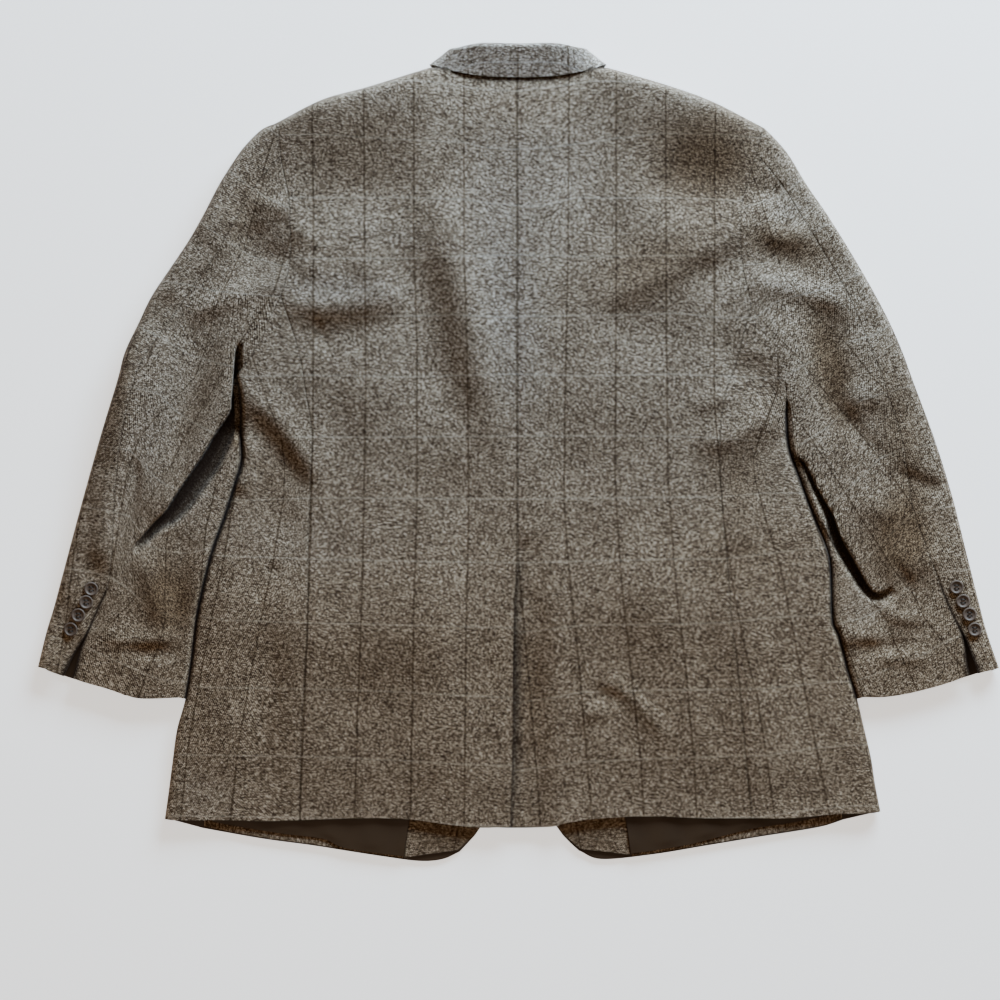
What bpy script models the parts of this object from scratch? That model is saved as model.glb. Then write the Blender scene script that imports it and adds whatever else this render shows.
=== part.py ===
"""A single-breasted wool sport coat, laid flat on its fronts with the back up.

The collar points to +Y, the wearer's left is at -X and the cloth lies on z = 0. The cloth is a wall
of even thickness. Each cut piece is one grid of points: smooth lines through a few measured points
give its seams and edges, a Coons patch fills them, a height formula with a table of folds lifts the
upper layer, and half an ellipse carries a piece round a folded edge to the layer that lies below.
All sizes are in millimetres until a mesh is made.
"""

import math

import bmesh
import bpy
import numpy as np
from mathutils import Vector

MM = 0.001

# Cloth and seams
WALL = 2.0                 # tweed with its lining
HEM_WALL = 1.5             # turned-up hem and facing
HEM_DEPTH = 34.0
LINING_WALL = 1.0
SEAM_GAP = 0.3
LAYER = WALL + SEAM_GAP    # from the floor of one layer to the floor of the next

# Rolled edges: the reach of the half ellipse in plan
SHOULDER_ROLL = 9.0
BODY_ROLL = 8.0
SLEEVE_OUTER_ROLL = 9.0
SLEEVE_INNER_ROLL = 7.0
UNDERARM_EASE = 0.8        # more room at the underarm, where the seam runs almost along the sleeve
FORE_SEAM_SHARE = 0.3      # how far in the sleeve's lower seam lies, from its inner edge

# Cells of the grids
NECK_CELLS = 3
SHOULDER_CELLS = 7
CAP_CELLS = 2              # shoulder tip to the sleeve's hind seam, along the armhole
ARM_CELLS = 6              # hind seam to the back's side seam, along the armhole
UNDERARM_CELLS = 5         # side seam to the underarm, along the armhole
SIDE_CELLS = 20            # armhole to hem, along the side seam
SLEEVE_CELLS = 17          # armhole to cuff
ROLL_CELLS = 4             # half a turn
FRONT_ARM_CELLS = 3        # shoulder tip to the front's side seam, along the armhole below
FRONT_SPACING = 1.5        # power that crowds a front's columns towards its edge
FRONT_ROWS_ABOVE = 0.55    # share of a front's rows above the lapel's foot
INNER_SPACING = 1.25       # power that crowds the sleeve's inner rows towards the underarm
CUFF_POINTS = 60
CUFF_ABOVE = slice(None, -8, 6)     # the ones that guide the cuff's upper edge, after the hind seam
CUFF_BELOW = slice(10, 50, 10)      # the ones that guide its lower edge
LAPEL_CELLS = 10
LAPEL_CELLS_ACROSS = 5
HEM_CELLS = 12
FACING_CELLS = 6
FACING_CELLS_ACROSS = 4
LINING_CELLS_DOWN = 3

# Buttons
CUFF_BUTTON_R = 7.5
CUFF_BUTTON_THICK = 2.8
FRONT_BUTTON_R = 10.5
FRONT_BUTTON_THICK = 3.4
FRONT_BUTTON_SPACING = 108.0
TOP_BUTTON_Y = -30.0
BUTTON_SEGMENTS = 14
BUTTON_DISH = 0.62         # height of the dished middle, as a share of the thickness
BUTTON_PROFILE = [(0.62, 0.66), (0.78, 1.0), (0.95, 0.92), (1.0, 0.55), (0.86, 0.0)]    # reach, height
CUFF_BUTTON_LIFT = 0.6     # what the shank leaves between the cloth and a cuff button
CUFF_BUTTON_TILT = 0.15    # extra lift on a slope, as a share of its rise under the button

# Lifts of the fronts over what they lie on, each with the distance over which it fades
BUTTON_LIFT = FRONT_BUTTON_THICK + 0.4
BUTTON_LIFT_X = 60.0
BUTTON_LIFT_Y = 100.0
LAPEL_LIFT = LAYER + 0.7
LAPEL_LIFT_Y = -80.0
LIFT_MARGIN = 15.0
LIFT_EASE = 40.0
LAPEL_REACH = [(-60, 20), (90, 75), (250, 155), (334, 175), (420, 120)]    # y, reach from the centre
FRONT_EASE = 1.0           # extra room between the two fronts where they overlap
OVERLAP_LIFT_X = 50.0
OVERLAP_EASE = 45.0
OVERLAP_FOOT_Y = -325.0
OVERLAP_FOOT_EASE = 25.0
OVERLAP_HEAD_Y = 90.0
OVERLAP_HEAD_EASE = 60.0

# Centre back: y of the neck seam, of the vent's top, of the full-width lap and of the hem
CENTRE_NECK_Y = 406.0
VENT_TOP_Y = -105.0
LAP_FULL_Y = -135.0
CENTRE_HEM_Y = -397.0
LAP_WIDTH = 42.0
LAP_FLARE = 8.0
LAP_DROP = WALL + 1.0
LAP_REACH = 8.0            # how far past the centre the right back stays below the left
LAP_EASE = 24.0            # over which it comes up level
CENTRE_ROWS_ABOVE_VENT = 18

SIGNS = {"left": -1.0, "right": 1.0}

# Outlines, x then y, each side as it lies
OUTLINES = {
    "left": {
        "neck": [(0, 406), (-50, 408), (-94, 410)],
        "shoulder": [(-94, 410), (-158, 390), (-208, 376), (-258, 351)],
        "cap": [(-258, 351), (-256, 335), (-252, 316)],
        "armhole": [(-252, 316), (-249, 299), (-243, 270), (-242, 242), (-241, 218), (-244, 193),
                    (-252, 167)],
        "underarm": [(-252, 167), (-262, 147), (-271, 125), (-284, 103), (-300, 81)],
        "side_seam": [(-252, 167), (-238, 126), (-230, 94), (-225, 62), (-219, 21), (-221, -49),
                      (-223, -113), (-224, -198), (-230, -283), (-232, -390)],
        "body_edge": [(-300, 81), (-296, 57), (-295, 20), (-294, -8), (-302, -36), (-312, -67),
                      (-325, -103), (-335, -142), (-342, -177), (-347, -218), (-354, -261),
                      (-363, -294), (-368, -330), (-373, -368), (-376, -389)],
        "front_seam": [(-262, 147), (-258, 100), (-255, 40), (-256, -10), (-268, -67), (-290, -130),
                       (-305, -200), (-316, -270), (-328, -340), (-335, -399)],
        "sleeve_outer": [(-258, 351), (-272, 345), (-287, 331), (-299, 316), (-318, 286), (-333, 257),
                         (-350, 227), (-370, 197), (-390, 167), (-404, 138), (-418, 108), (-426, 78),
                         (-444, 19), (-461, -41), (-477, -100), (-493, -160), (-502, -190), (-511, -227)],
        "hind_seam": [(-252, 316), (-279, 284), (-304, 240), (-320, 212), (-341, 184), (-364, 149),
                      (-381, 126), (-400, 97), (-413, 57), (-424, 0), (-429, -60), (-434, -131),
                      (-448, -168), (-459, -192), (-471, -212), (-483, -237)],
        "sleeve_inner": [(-303.8, 81), (-299.5, 57), (-298, 20), (-297.5, -8), (-305, -36),
                         (-313.5, -67), (-326.5, -103), (-336.5, -142), (-343.5, -177), (-349, -218),
                         (-356, -261)],
        "cuff": [(-511, -227), (-483, -237), (-474, -240), (-431, -252), (-406, -260), (-356, -261)],
        "back_hem": [(-8, -397), (-41, -398), (-80, -394), (-118, -389), (-170, -388), (-232, -390)],
        "side_hem": [(-232, -390), (-270, -391), (-311, -390), (-376, -389)],
        "under_hem": [(-376, -389), (-335, -399)],
        "front_hem": [(-335, -399), (-273, -410), (-221, -417), (-183, -423), (-144, -429),
                      (-105, -434), (-80, -432), (-62, -424)],
        "front_edge": [(-94, 410), (18, -30), (19, -90), (18, -150), (14, -210), (6, -270), (-8, -330),
                       (-24, -370), (-41, -400), (-49, -410), (-62, -424)],
        "lapel_roll": [(-82, 358), (10, -4)],
        "lapel_edge": [(-158, 334), (-140, 250), (-60, 90), (2, -2)],
        "facing_inner": [(-104, -350), (-116, -394), (-121, -430)],
        "facing_edge": [(-18, -350), (-26, -374), (-43, -401), (-51, -410), (-64, -422)],
        "lining_foot": [(-325, -392), (-293, -398), (-248, -405), (-208, -410), (-188, -419),
                        (-160, -424), (-122, -429)],
        "hem_edge": [(-334, -397), (-273, -408.5), (-221, -415.5), (-183, -421.5), (-144, -427.5),
                     (-122, -430.5)],
    },
    "right": {
        "neck": [(0, 406), (50, 408), (95, 410)],
        "shoulder": [(95, 410), (162, 390), (206, 374), (262, 346)],
        "cap": [(262, 346), (258, 333), (253, 318)],
        "armhole": [(253, 318), (247, 299), (239, 270), (236, 245), (237, 217), (240, 190), (248, 160)],
        "underarm": [(248, 160), (257, 137), (267, 118), (279, 95), (286, 57)],
        "side_seam": [(248, 160), (238, 120), (231, 94), (220, 62), (215, 20), (217, -56), (222, -108),
                      (227, -177), (234, -228), (243, -326), (251, -388)],
        "body_edge": [(286, 57), (286, 36), (289, 5), (301, -30), (314, -64), (328, -99), (333, -122),
                      (335, -177), (342, -194), (351, -229), (361, -261), (368, -290), (376, -324),
                      (380, -350), (386, -381)],
        "front_seam": [(257, 137), (250, 100), (246, 40), (250, 0), (268, -55), (285, -105), (294, -170),
                       (310, -230), (326, -290), (338, -340), (346, -390)],
        "sleeve_outer": [(262, 346), (276, 332), (289, 316), (307, 286), (327, 257), (346, 227),
                         (364, 197), (381, 167), (396, 138), (409, 108), (420, 78), (442, 19),
                         (461, -41), (476, -100), (491, -160), (499, -190), (512, -228)],
        "hind_seam": [(253, 318), (281, 284), (305, 245), (330, 205), (352, 165), (378, 104), (395, 56),
                      (409, 11), (420, -58), (445, -129), (461, -169), (476, -198), (489, -234)],
        "sleeve_inner": [(287.2, 56), (287.5, 36), (290.5, 5), (302.5, -30), (315.5, -64), (329.5, -99),
                         (334.5, -122), (337, -177), (343.5, -194), (352.5, -229), (363, -261)],
        "cuff": [(512, -228), (489, -234), (470, -240), (448, -247), (406, -257), (363, -261)],
        "back_hem": [(-50, -396), (-8, -398), (35, -397), (51, -393), (89, -388), (143, -386),
                     (198, -388), (251, -388)],
        "side_hem": [(251, -388), (290, -388), (334, -384), (386, -381)],
        "under_hem": [(386, -381), (346, -390)],
        "front_hem": [(346, -390), (320, -398), (252, -409), (198, -418), (143, -427), (89, -432),
                      (65, -423)],
        "front_edge": [(95, 410), (-18, -30), (-19, -90), (-17, -150), (-12, -210), (-3, -270),
                       (10, -330), (25, -370), (41, -397), (51, -410), (65, -423)],
        "lapel_roll": [(82, 358), (-10, -4)],
        "lapel_edge": [(158, 334), (140, 250), (60, 90), (-2, -2)],
        "facing_inner": [(105, -350), (115, -392), (120, -427)],
        "facing_edge": [(19, -350), (28, -372), (43, -398), (53, -409), (67, -421)],
        "lining_foot": [(330, -385), (292, -393), (252, -399), (211, -409), (184, -416), (149, -422),
                        (121, -426)],
        "hem_edge": [(345, -388.5), (320, -396.5), (252, -407.5), (198, -416.5), (143, -425.5),
                     (121, -428.5)],
    },
}

# Vent edge of the left back, which lies on top: y, x
VENT_EDGE = [(-105, 0), (-165, -4), (-228, -5), (-292, -5), (-344, -6), (-397, -8)]

# Height of the upper layer where the cloth lies smooth: distance from the centre, y, height
CROWN = [
    (0, 410, 27), (0, 300, 29), (0, 200, 29), (0, 100, 26), (0, 0, 22), (0, -100, 18), (0, -200, 15.5),
    (0, -300, 13.5), (0, -395, 12),
    (125, 390, 26), (130, 260, 31), (120, 120, 27), (110, 0, 22), (110, -130, 17), (120, -260, 14),
    (120, -395, 12),
    (225, 345, 24), (230, 255, 30), (230, 150, 27), (235, 50, 23), (225, -60, 19), (250, -200, 15),
    (255, -390, 12),
    (300, -60, 17), (335, -220, 13), (370, -380, 11.5),
    (290, 310, 22), (320, 215, 26), (370, 130, 24), (345, 40, 22), (415, 40, 21), (390, -50, 19),
    (455, -70, 17), (370, -150, 15), (460, -150, 15), (400, -240, 13), (490, -215, 12),
]
CROWN_BOTH_SIDES = CROWN + [(-reach, row_y, height) for reach, row_y, height in CROWN if reach]
CROWN_SPREAD = 55.0
LOWEST_UPPER = 5.2
LOWEST_EASE = 1.5          # how sharply the height turns level as it nears its lowest
STEEPEST = 1.4             # most that a slope adds to the wall's upright thickness

# Folds of the upper layer: from x, y to x, y, sideways bow at the middle, half width, height
FOLDS = [
    (-68, 225, -34, 40, 4, 34, 3.0),
    (-118, 215, -80, 45, 6, 34, -3.5),
    (246, 278, 78, 192, -6, 24, -5.0),
    (238, 246, 92, 158, -6, 24, 4.0),
    (190, 205, 352, 170, 3, 15, -4.5),
    (250, 178, 350, 140, 4, 20, 3.5),
    (-262, 290, -110, 232, -6, 20, -4.5),
    (-236, 200, -135, 188, 0, 20, -2.5),
    (-246, 203, -349, 163, 4, 15, -5.5),
    (-250, 178, -345, 138, 4, 20, 3.5),
    (-294, 68, -222, -16, -4, 14, 5.0),
    (-293, 36, -228, -40, -4, 13, -4.5),
    (274, 42, 208, -12, -3, 14, 5.0),
    (262, 72, 220, 48, 0, 14, -3.5),
    (325, 156, 342, 36, -6, 16, -6.0),
    (351, 42, 386, -4, 0, 14, -4.0),
    (398, -120, 444, -116, 0, 16, 3.0),
    (380, -172, 434, -178, -6, 13, 4.0),
    (-394, -110, -378, -178, 0, 13, 3.0),
    (-352, -110, -362, -196, 0, 12, -3.0),
]

# Deep folds across the elbows, on the sleeves only: the same columns
ELBOW_FOLDS = [
    (-300, 92, -303, 22, 4, 13, -15.0),
    (-303, 26, -346, -34, 4, 13, -14.0),
    (-340, -26, -402, -104, 0, 13, -13.0),
    (291, 40, 300, -16, 3, 12, -12.0),
    (298, -10, 338, -94, 0, 12, -13.0),
    (334, -86, 374, -152, 0, 12, -12.0),
]
FOLD_END = 0.16            # share of a fold's length over which each end fades

# Cuff buttons: x, y
CUFF_BUTTONS = {
    "left": [(-454, -144), (-459.5, -158), (-467.5, -172), (-475.5, -187)],
    "right": [(466, -142), (473, -157), (480, -171), (485.5, -187)],
}

# Collar band from the middle of the back round to the left front: where its neck seam runs (x, y, z),
# which way the stand goes (x, y, z), which way its outside faces (x, y, z), stand height, fall length,
# distance between the two
COLLAR = [
    (0, 407.2, 26, 0, 0.96, 0.28, 0, -0.28, 0.96, 28, 32, 5.5),
    (-40, 408.8, 26, 0.04, 0.96, 0.28, 0, -0.28, 0.96, 27, 31, 5.5),
    (-72, 411.0, 26, 0.25, 0.95, 0.15, -0.2, -0.1, 0.96, 23, 26, 5.0),
    (-88, 413.2, 15, 0.62, 0.78, 0, -0.78, 0.62, 0.1, 20, 18, 4.0),
    (-86, 409.0, 6.7, 0.6, 0.8, 0, -0.3, 0.2, -0.93, 22, 24, 2.6),
    (-80, 394.0, 3.7, 0.7, 0.7, 0, 0, 0, -1, 24, 30, 2.4),
    (-75, 374.0, 3.7, 0.85, 0.5, 0, 0, 0, -1, 24, 32, 2.4),
]
COLLAR_STEPS = 3           # sections between two rows of the table

# Colour, roughness
FINISHES = {
    "tweed": ((0.150, 0.122, 0.094), 0.95),
    "lining": ((0.032, 0.020, 0.012), 0.45),
    "button": ((0.020, 0.013, 0.009), 0.25),
}


def smooth_step(value):
    """0 below 0, 1 above 1 and a soft rise between them."""
    share = np.clip(value, 0.0, 1.0)
    return share * share * (3.0 - 2.0 * share)


def unit(vectors):
    """The same directions at length 1."""
    vectors = np.asarray(vectors, float)
    return vectors / np.linalg.norm(vectors, axis=-1, keepdims=True)


def smooth_line(points, fractions):
    """Points at the given fractions of the length of the Catmull-Rom curve through the given points."""
    points = np.asarray(points, float)
    ends = np.vstack([2 * points[0] - points[1], points, 2 * points[-1] - points[-2]])
    share = np.linspace(0.0, 1.0, 16, endpoint=False)[:, None]
    runs = []
    for a, b, c, d in zip(ends[:-3], ends[1:-2], ends[2:-1], ends[3:]):
        cubic = -a + 3 * b - 3 * c + d
        square = 2 * a - 5 * b + 4 * c - d
        runs.append(0.5 * (2 * b + (c - a) * share + square * share**2 + cubic * share**3))
    fine = np.vstack(runs + [points[-1:]])
    steps = np.linalg.norm(np.diff(fine, axis=0), axis=1)
    length = np.concatenate([[0.0], np.cumsum(steps)])
    wanted = np.asarray(fractions) * length[-1]
    return np.stack([np.interp(wanted, length, fine[:, k]) for k in range(fine.shape[1])], axis=1)


def even(points, cells):
    """The smooth line through the points, in equal cells."""
    return smooth_line(points, np.linspace(0.0, 1.0, cells + 1))


def joined(*lines):
    """Lines laid end to end, with each shared point kept once."""
    return np.vstack([lines[0]] + [line[1:] for line in lines[1:]])


def coons(top, bottom, first, last, across):
    """Fills four edges: a blend down, plus a blend across, less the blend of the corners."""
    u = np.asarray(across)[None, :, None]
    v = np.linspace(0.0, 1.0, len(first))[:, None, None]
    down = (1 - v) * top[None] + v * bottom[None]
    over = (1 - u) * first[:, None] + u * last[:, None]
    corners = (1 - u) * (1 - v) * top[0] + u * (1 - v) * top[-1]
    corners = corners + (1 - u) * v * bottom[0] + u * v * bottom[-1]
    return down + over - corners


def sleeve_patch(armhole, cuff, hind, inner, across):
    """Fills a sleeve: straight lines across, plus the armhole's curve, which fades towards the cuff,
    fastest at the underarm, plus the cuff's curve, which grows towards it."""
    u = np.asarray(across)[None, :, None]
    v = np.linspace(0.0, 1.0, len(hind))[:, None, None]
    straight = (1 - u) * hind[:, None] + u * inner[:, None]
    armhole_curve = armhole[None] - straight[:1]
    cuff_curve = cuff[None] - straight[-1:]
    return straight + armhole_curve * (1 - v) ** (1.5 + 24.0 * u**4) + cuff_curve * v**2


def fold_height(x, y, fold):
    """A ridge with a bell section along a bowed line, faded at both ends."""
    x0, y0, x1, y1, bow, half_width, height = fold
    length = math.hypot(x1 - x0, y1 - y0)
    along = ((x - x0) * (x1 - x0) + (y - y0) * (y1 - y0)) / length**2
    sideways = ((x - x0) * (y1 - y0) - (y - y0) * (x1 - x0)) / length
    inside = np.clip(along, 0.0, 1.0)
    beyond = (along - inside) * length
    sideways = sideways - bow * 4.0 * inside * (1.0 - inside)
    bell = np.exp(-(sideways**2 + beyond**2) / half_width**2)
    ends = smooth_step(along / FOLD_END + 0.5) * smooth_step((1.0 - along) / FOLD_END + 0.5)
    return height * bell * ends


def upper_height(plan, folds):
    """Height of the outside of the upper layer: the crown table, blended by distance, plus the folds."""
    x, y = plan[..., 0], plan[..., 1]
    weights = 0.0
    total = 0.0
    for row_x, row_y, row_height in CROWN_BOTH_SIDES:
        near = np.exp(-((x - row_x) ** 2 + (y - row_y) ** 2) / (2 * CROWN_SPREAD**2))
        weights = weights + near
        total = total + near * row_height
    height = total / weights
    for fold in folds:
        height = height + fold_height(x, y, fold)
    return LOWEST_UPPER + np.logaddexp(0.0, (height - LOWEST_UPPER) * LOWEST_EASE) / LOWEST_EASE


def body_height(plan):
    return upper_height(plan, FOLDS)


def sleeve_height(plan):
    return upper_height(plan, FOLDS + ELBOW_FOLDS)


def with_height(plan, height):
    """Plan points and a height for each as points in space."""
    return np.dstack([plan, np.broadcast_to(height, plan.shape[:2])])


def upper_layer(plan, height):
    """Outer and inner points of the upper layer, as far apart as makes the wall even on a slope."""
    step = 1.0
    z = height(plan)
    slope_x = (height(plan + [step, 0.0]) - z) / step
    slope_y = (height(plan + [0.0, step]) - z) / step
    depth = WALL * np.minimum(np.sqrt(1.0 + slope_x**2 + slope_y**2), STEEPEST)
    return with_height(plan, z), with_height(plan, z - depth)


def lower_layer(plan, floor):
    """Outer and inner points of a lower layer, whose outside lies on the given floor."""
    return with_height(plan, floor), with_height(plan, floor + WALL)


def rolled_edge(edge, outward, reach, top, floor, turns, wall=WALL):
    """Half an ellipse round a folded edge, from the upper layer down to the lower one.

    edge holds the furthest points, outward their directions, top and floor the heights of the two
    layers, and turns the angles, from 0 at the top to half a turn at the floor.
    """
    sine = np.sin(turns)[None, :, None]
    cosine = np.cos(turns)[None, :]
    start = (edge - reach * outward)[:, None]
    middle = 0.5 * (top + floor)[:, None]
    half = 0.5 * (top - floor)[:, None]
    outer = start + reach * sine * outward[:, None]
    inner = start + (reach - wall) * sine * outward[:, None]
    return (
        np.dstack([outer, middle + half * cosine]),
        np.dstack([inner, middle + (half - wall) * cosine]),
    )


def edge_normals(edge, side):
    """Directions in plan square to an edge, to its left for side 1 and to its right for side -1."""
    run = np.gradient(edge, axis=0)
    return side * unit(np.stack([-run[:, 1], run[:, 0]], axis=1))


def turned_from(first, normals):
    """Edge directions that start along another edge and turn to the normals in two rows."""
    blend = np.minimum(np.array([0.0, 0.7] + [1.0] * (len(normals) - 2)), 1.0)[:, None]
    return unit((1 - blend) * first + blend * normals)


def drawn_in(points, gap, rows="", columns=""):
    """Pulls the first or last row or column towards its neighbour, which opens the gap at a seam."""
    points = points.copy()
    rows_in = {"first": (0, 1), "last": (-1, -2)}
    for name in rows.split():
        edge, next_in = rows_in[name]
        points[edge] += gap * unit(points[next_in] - points[edge])
    for name in columns.split():
        edge, next_in = rows_in[name]
        points[:, edge] += gap * unit(points[:, next_in] - points[:, edge])
    return points


def material(name):
    """A Principled material with one of the coat's finishes."""
    finish = bpy.data.materials.get(name)
    if finish is None:
        finish = bpy.data.materials.new(name)
        finish.use_nodes = True
        colour, roughness = FINISHES[name]
        shader = finish.node_tree.nodes["Principled BSDF"]
        shader.inputs["Base Color"].default_value = (*colour, 1.0)
        shader.inputs["Roughness"].default_value = roughness
        shader.inputs["Metallic"].default_value = 0.0
        finish.diffuse_color = (*colour, 1.0)
    return finish


def add_object(name, mesh, finish, collection):
    """Puts a mesh in the coat's collection under its own name, shaded smooth."""
    mesh.materials.append(material(finish))
    mesh.shade_smooth()
    piece = bpy.data.objects.new(name, mesh)
    collection.objects.link(piece)
    return piece


def cloth_piece(name, outer, inner, collection, finish="tweed"):
    """One closed wall between two grids of points."""
    rows, columns = outer.shape[:2]
    mesh = bpy.data.meshes.new(name)
    shell = bmesh.new()
    sheets = []
    for grid in (outer, inner):
        sheets.append([[shell.verts.new(Vector(p) * MM) for p in row] for row in grid])
    top, under = sheets
    for i in range(rows - 1):
        for j in range(columns - 1):
            shell.faces.new((top[i][j], top[i][j + 1], top[i + 1][j + 1], top[i + 1][j]))
            shell.faces.new((under[i][j], under[i + 1][j], under[i + 1][j + 1], under[i][j + 1]))
    for i in range(rows - 1):
        shell.faces.new((top[i][0], top[i + 1][0], under[i + 1][0], under[i][0]))
        shell.faces.new((top[i + 1][-1], top[i][-1], under[i][-1], under[i + 1][-1]))
    for j in range(columns - 1):
        shell.faces.new((top[0][j + 1], top[0][j], under[0][j], under[0][j + 1]))
        shell.faces.new((top[-1][j], top[-1][j + 1], under[-1][j + 1], under[-1][j]))
    if shell.calc_volume(signed=True) < 0:
        bmesh.ops.reverse_faces(shell, faces=shell.faces[:])
    shell.to_mesh(mesh)
    shell.free()
    return add_object(name, mesh, finish, collection)


def front_columns():
    """Shares across a front, closer together towards its edge."""
    return 1.0 - (1.0 - np.linspace(0.0, 1.0, SHOULDER_CELLS + 1)) ** FRONT_SPACING


def seams(side):
    """The lines that pieces share on one side, with the rolled edges' directions."""
    lines = OUTLINES[side]
    sign = SIGNS[side]
    shared = {}
    shoulder = smooth_line(lines["shoulder"], 1.0 - front_columns()[::-1])
    shoulder_out = edge_normals(shoulder, sign)
    shared["shoulder"] = shoulder
    shared["shoulder_out"] = shoulder_out
    tip_out = shoulder_out[-1]
    tip_start = shoulder[-1] - SHOULDER_ROLL * tip_out
    shared["tip_out"] = tip_out
    cap = even(lines["cap"], CAP_CELLS)
    cap[0] = tip_start
    cap[1] = 0.5 * (cap[0] + cap[2])
    underarm = even(lines["underarm"], UNDERARM_CELLS)
    underarm_out = unit(underarm[-1] - underarm[-2])
    underarm[-1] = underarm[-1] - BODY_ROLL * underarm_out
    shared["underarm_out"] = underarm_out
    shared["cap"] = cap
    shared["armhole"] = even(lines["armhole"], ARM_CELLS)
    shared["underarm"] = underarm
    shared["side_seam"] = even(lines["side_seam"], SIDE_CELLS)
    shared["front_seam"] = even(lines["front_seam"], SIDE_CELLS)
    body_edge = even(lines["body_edge"], SIDE_CELLS)
    shared["body_edge"] = body_edge
    shared["body_out"] = turned_from(underarm_out, edge_normals(body_edge, sign))
    front_top = even(joined(cap, shared["armhole"], underarm[:3]), FRONT_ARM_CELLS)
    front_top[-1] = lines["front_seam"][0]
    fore = 0.5 * (front_top[-1] + underarm[-1])
    shared["lower_armhole"] = np.vstack([front_top, fore, underarm[-1]])
    return shared


def back_panel(side, collection):
    """Half of the back, from the centre seam to the armhole and the side seam."""
    lines = OUTLINES[side]
    shared = seams(side)
    neck = even(lines["neck"], NECK_CELLS)
    edge = joined(neck, shared["shoulder"])
    outward = np.vstack([np.tile([0.0, 1.0], (NECK_CELLS, 1)), shared["shoulder_out"]])
    outward[NECK_CELLS] = unit(outward[NECK_CELLS] + [0.0, 1.0])
    rolls = np.concatenate([np.zeros(NECK_CELLS), [0.5], np.ones(SHOULDER_CELLS)])[:, None]
    across = np.abs(edge[:, 0]) / abs(edge[-1, 0])

    outer_line = joined(shared["cap"], shared["armhole"], shared["side_seam"])
    rows_below = len(outer_line) - 1 - CENTRE_ROWS_ABOVE_VENT
    centre_y = np.concatenate([
        np.linspace(CENTRE_NECK_Y, VENT_TOP_Y, CENTRE_ROWS_ABOVE_VENT + 1),
        np.linspace(LAP_FULL_Y, CENTRE_HEM_Y, rows_below),
    ])
    if side == "left":
        vent = np.array(VENT_EDGE, float)[::-1]
        centre_x = np.interp(centre_y, vent[:, 0], vent[:, 1])
    else:
        centre_x = -LAP_WIDTH * smooth_step((VENT_TOP_Y - centre_y) / (VENT_TOP_Y - LAP_FULL_Y))
        centre_x -= LAP_FLARE * smooth_step((LAP_FULL_Y - centre_y) / (LAP_FULL_Y - CENTRE_HEM_Y))
    centre = np.stack([centre_x, centre_y], axis=1)
    top = edge - SHOULDER_ROLL * outward
    centre[0] = top[0]
    hem = smooth_line(lines["back_hem"], across)
    centre[-1] = hem[0]

    height = body_height
    if side == "right":
        def height(plan):
            under = smooth_step((VENT_TOP_Y + LAP_EASE - plan[..., 1]) / LAP_EASE)
            near = 1.0 - smooth_step((plan[..., 0] - LAP_REACH) / LAP_EASE)
            return body_height(plan) - LAP_DROP * under * near

    plan = coons(top, hem, centre, outer_line, across)
    outer, inner = upper_layer(plan, height)
    turns = np.linspace(0.0, math.pi / 2, ROLL_CELLS // 2 + 1)[:0:-1]
    roll_outer, roll_inner = rolled_edge(
        edge, outward, SHOULDER_ROLL, outer[0, :, 2], np.zeros(len(edge)), turns)
    flat_plan = np.moveaxis(roll_outer[..., :2], 0, 1)
    flat_outer, flat_inner = upper_layer(flat_plan, height)
    roll_outer = rolls * np.moveaxis(roll_outer, 0, 1) + (1 - rolls) * flat_outer
    roll_inner = rolls * np.moveaxis(roll_inner, 0, 1) + (1 - rolls) * flat_inner
    outer = drawn_in(np.concatenate([roll_outer, outer]), SEAM_GAP / 2, "first", "first last")
    inner = drawn_in(np.concatenate([roll_inner, inner]), SEAM_GAP / 2, "first", "first last")
    cloth_piece(f"back_{side}", outer, inner, collection)


def side_panel(side, collection):
    """The panel between back and front, which turns under at the body's edge."""
    lines = OUTLINES[side]
    shared = seams(side)
    edge, outward = shared["body_edge"], shared["body_out"]
    start = edge - BODY_ROLL * outward
    across = np.linspace(0.0, 1.0, UNDERARM_CELLS + 1)
    hem = smooth_line(lines["side_hem"], across)
    hem[-1] = start[-1]
    start[0] = shared["underarm"][-1]
    upper_plan = coons(shared["underarm"], hem, shared["side_seam"], start, across)
    upper_outer, upper_inner = upper_layer(upper_plan, body_height)
    turns = np.linspace(0.0, math.pi, ROLL_CELLS + 1)[1:-1]
    roll_outer, roll_inner = rolled_edge(
        edge, outward, BODY_ROLL, upper_outer[:, -1, 2], np.zeros(len(edge)), turns)
    armhole_below = shared["lower_armhole"][::-1][: 3]
    halves = np.array([0.0, 0.5, 1.0])
    under_hem = np.stack([start[-1], 0.5 * (start[-1] + shared["front_seam"][-1]), shared["front_seam"][-1]])
    lower_plan = coons(armhole_below, under_hem, start, shared["front_seam"], halves)
    lower_outer, lower_inner = lower_layer(lower_plan, 0.0)
    outer = np.concatenate([upper_outer, roll_outer, lower_outer], axis=1)
    inner = np.concatenate([upper_inner, roll_inner, lower_inner], axis=1)
    outer = drawn_in(outer, SEAM_GAP / 2, "first", "first last")
    inner = drawn_in(inner, SEAM_GAP / 2, "first", "first last")
    cloth_piece(f"side_{side}", outer, inner, collection)


def left_front_floor(plan):
    """Height of the left front's outside: it lies on its lapel and on the buttons."""
    x, y = plan[..., 0], plan[..., 1]
    from_buttons = np.abs(y - TOP_BUTTON_Y + FRONT_BUTTON_SPACING / 2)
    over_buttons = 1.0 - smooth_step((np.abs(x) - BUTTON_LIFT_X) / LIFT_EASE)
    over_buttons = over_buttons * (1.0 - smooth_step((from_buttons - BUTTON_LIFT_Y) / LIFT_EASE))
    return np.maximum(BUTTON_LIFT * over_buttons, over_lapel(-x, y))


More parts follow.
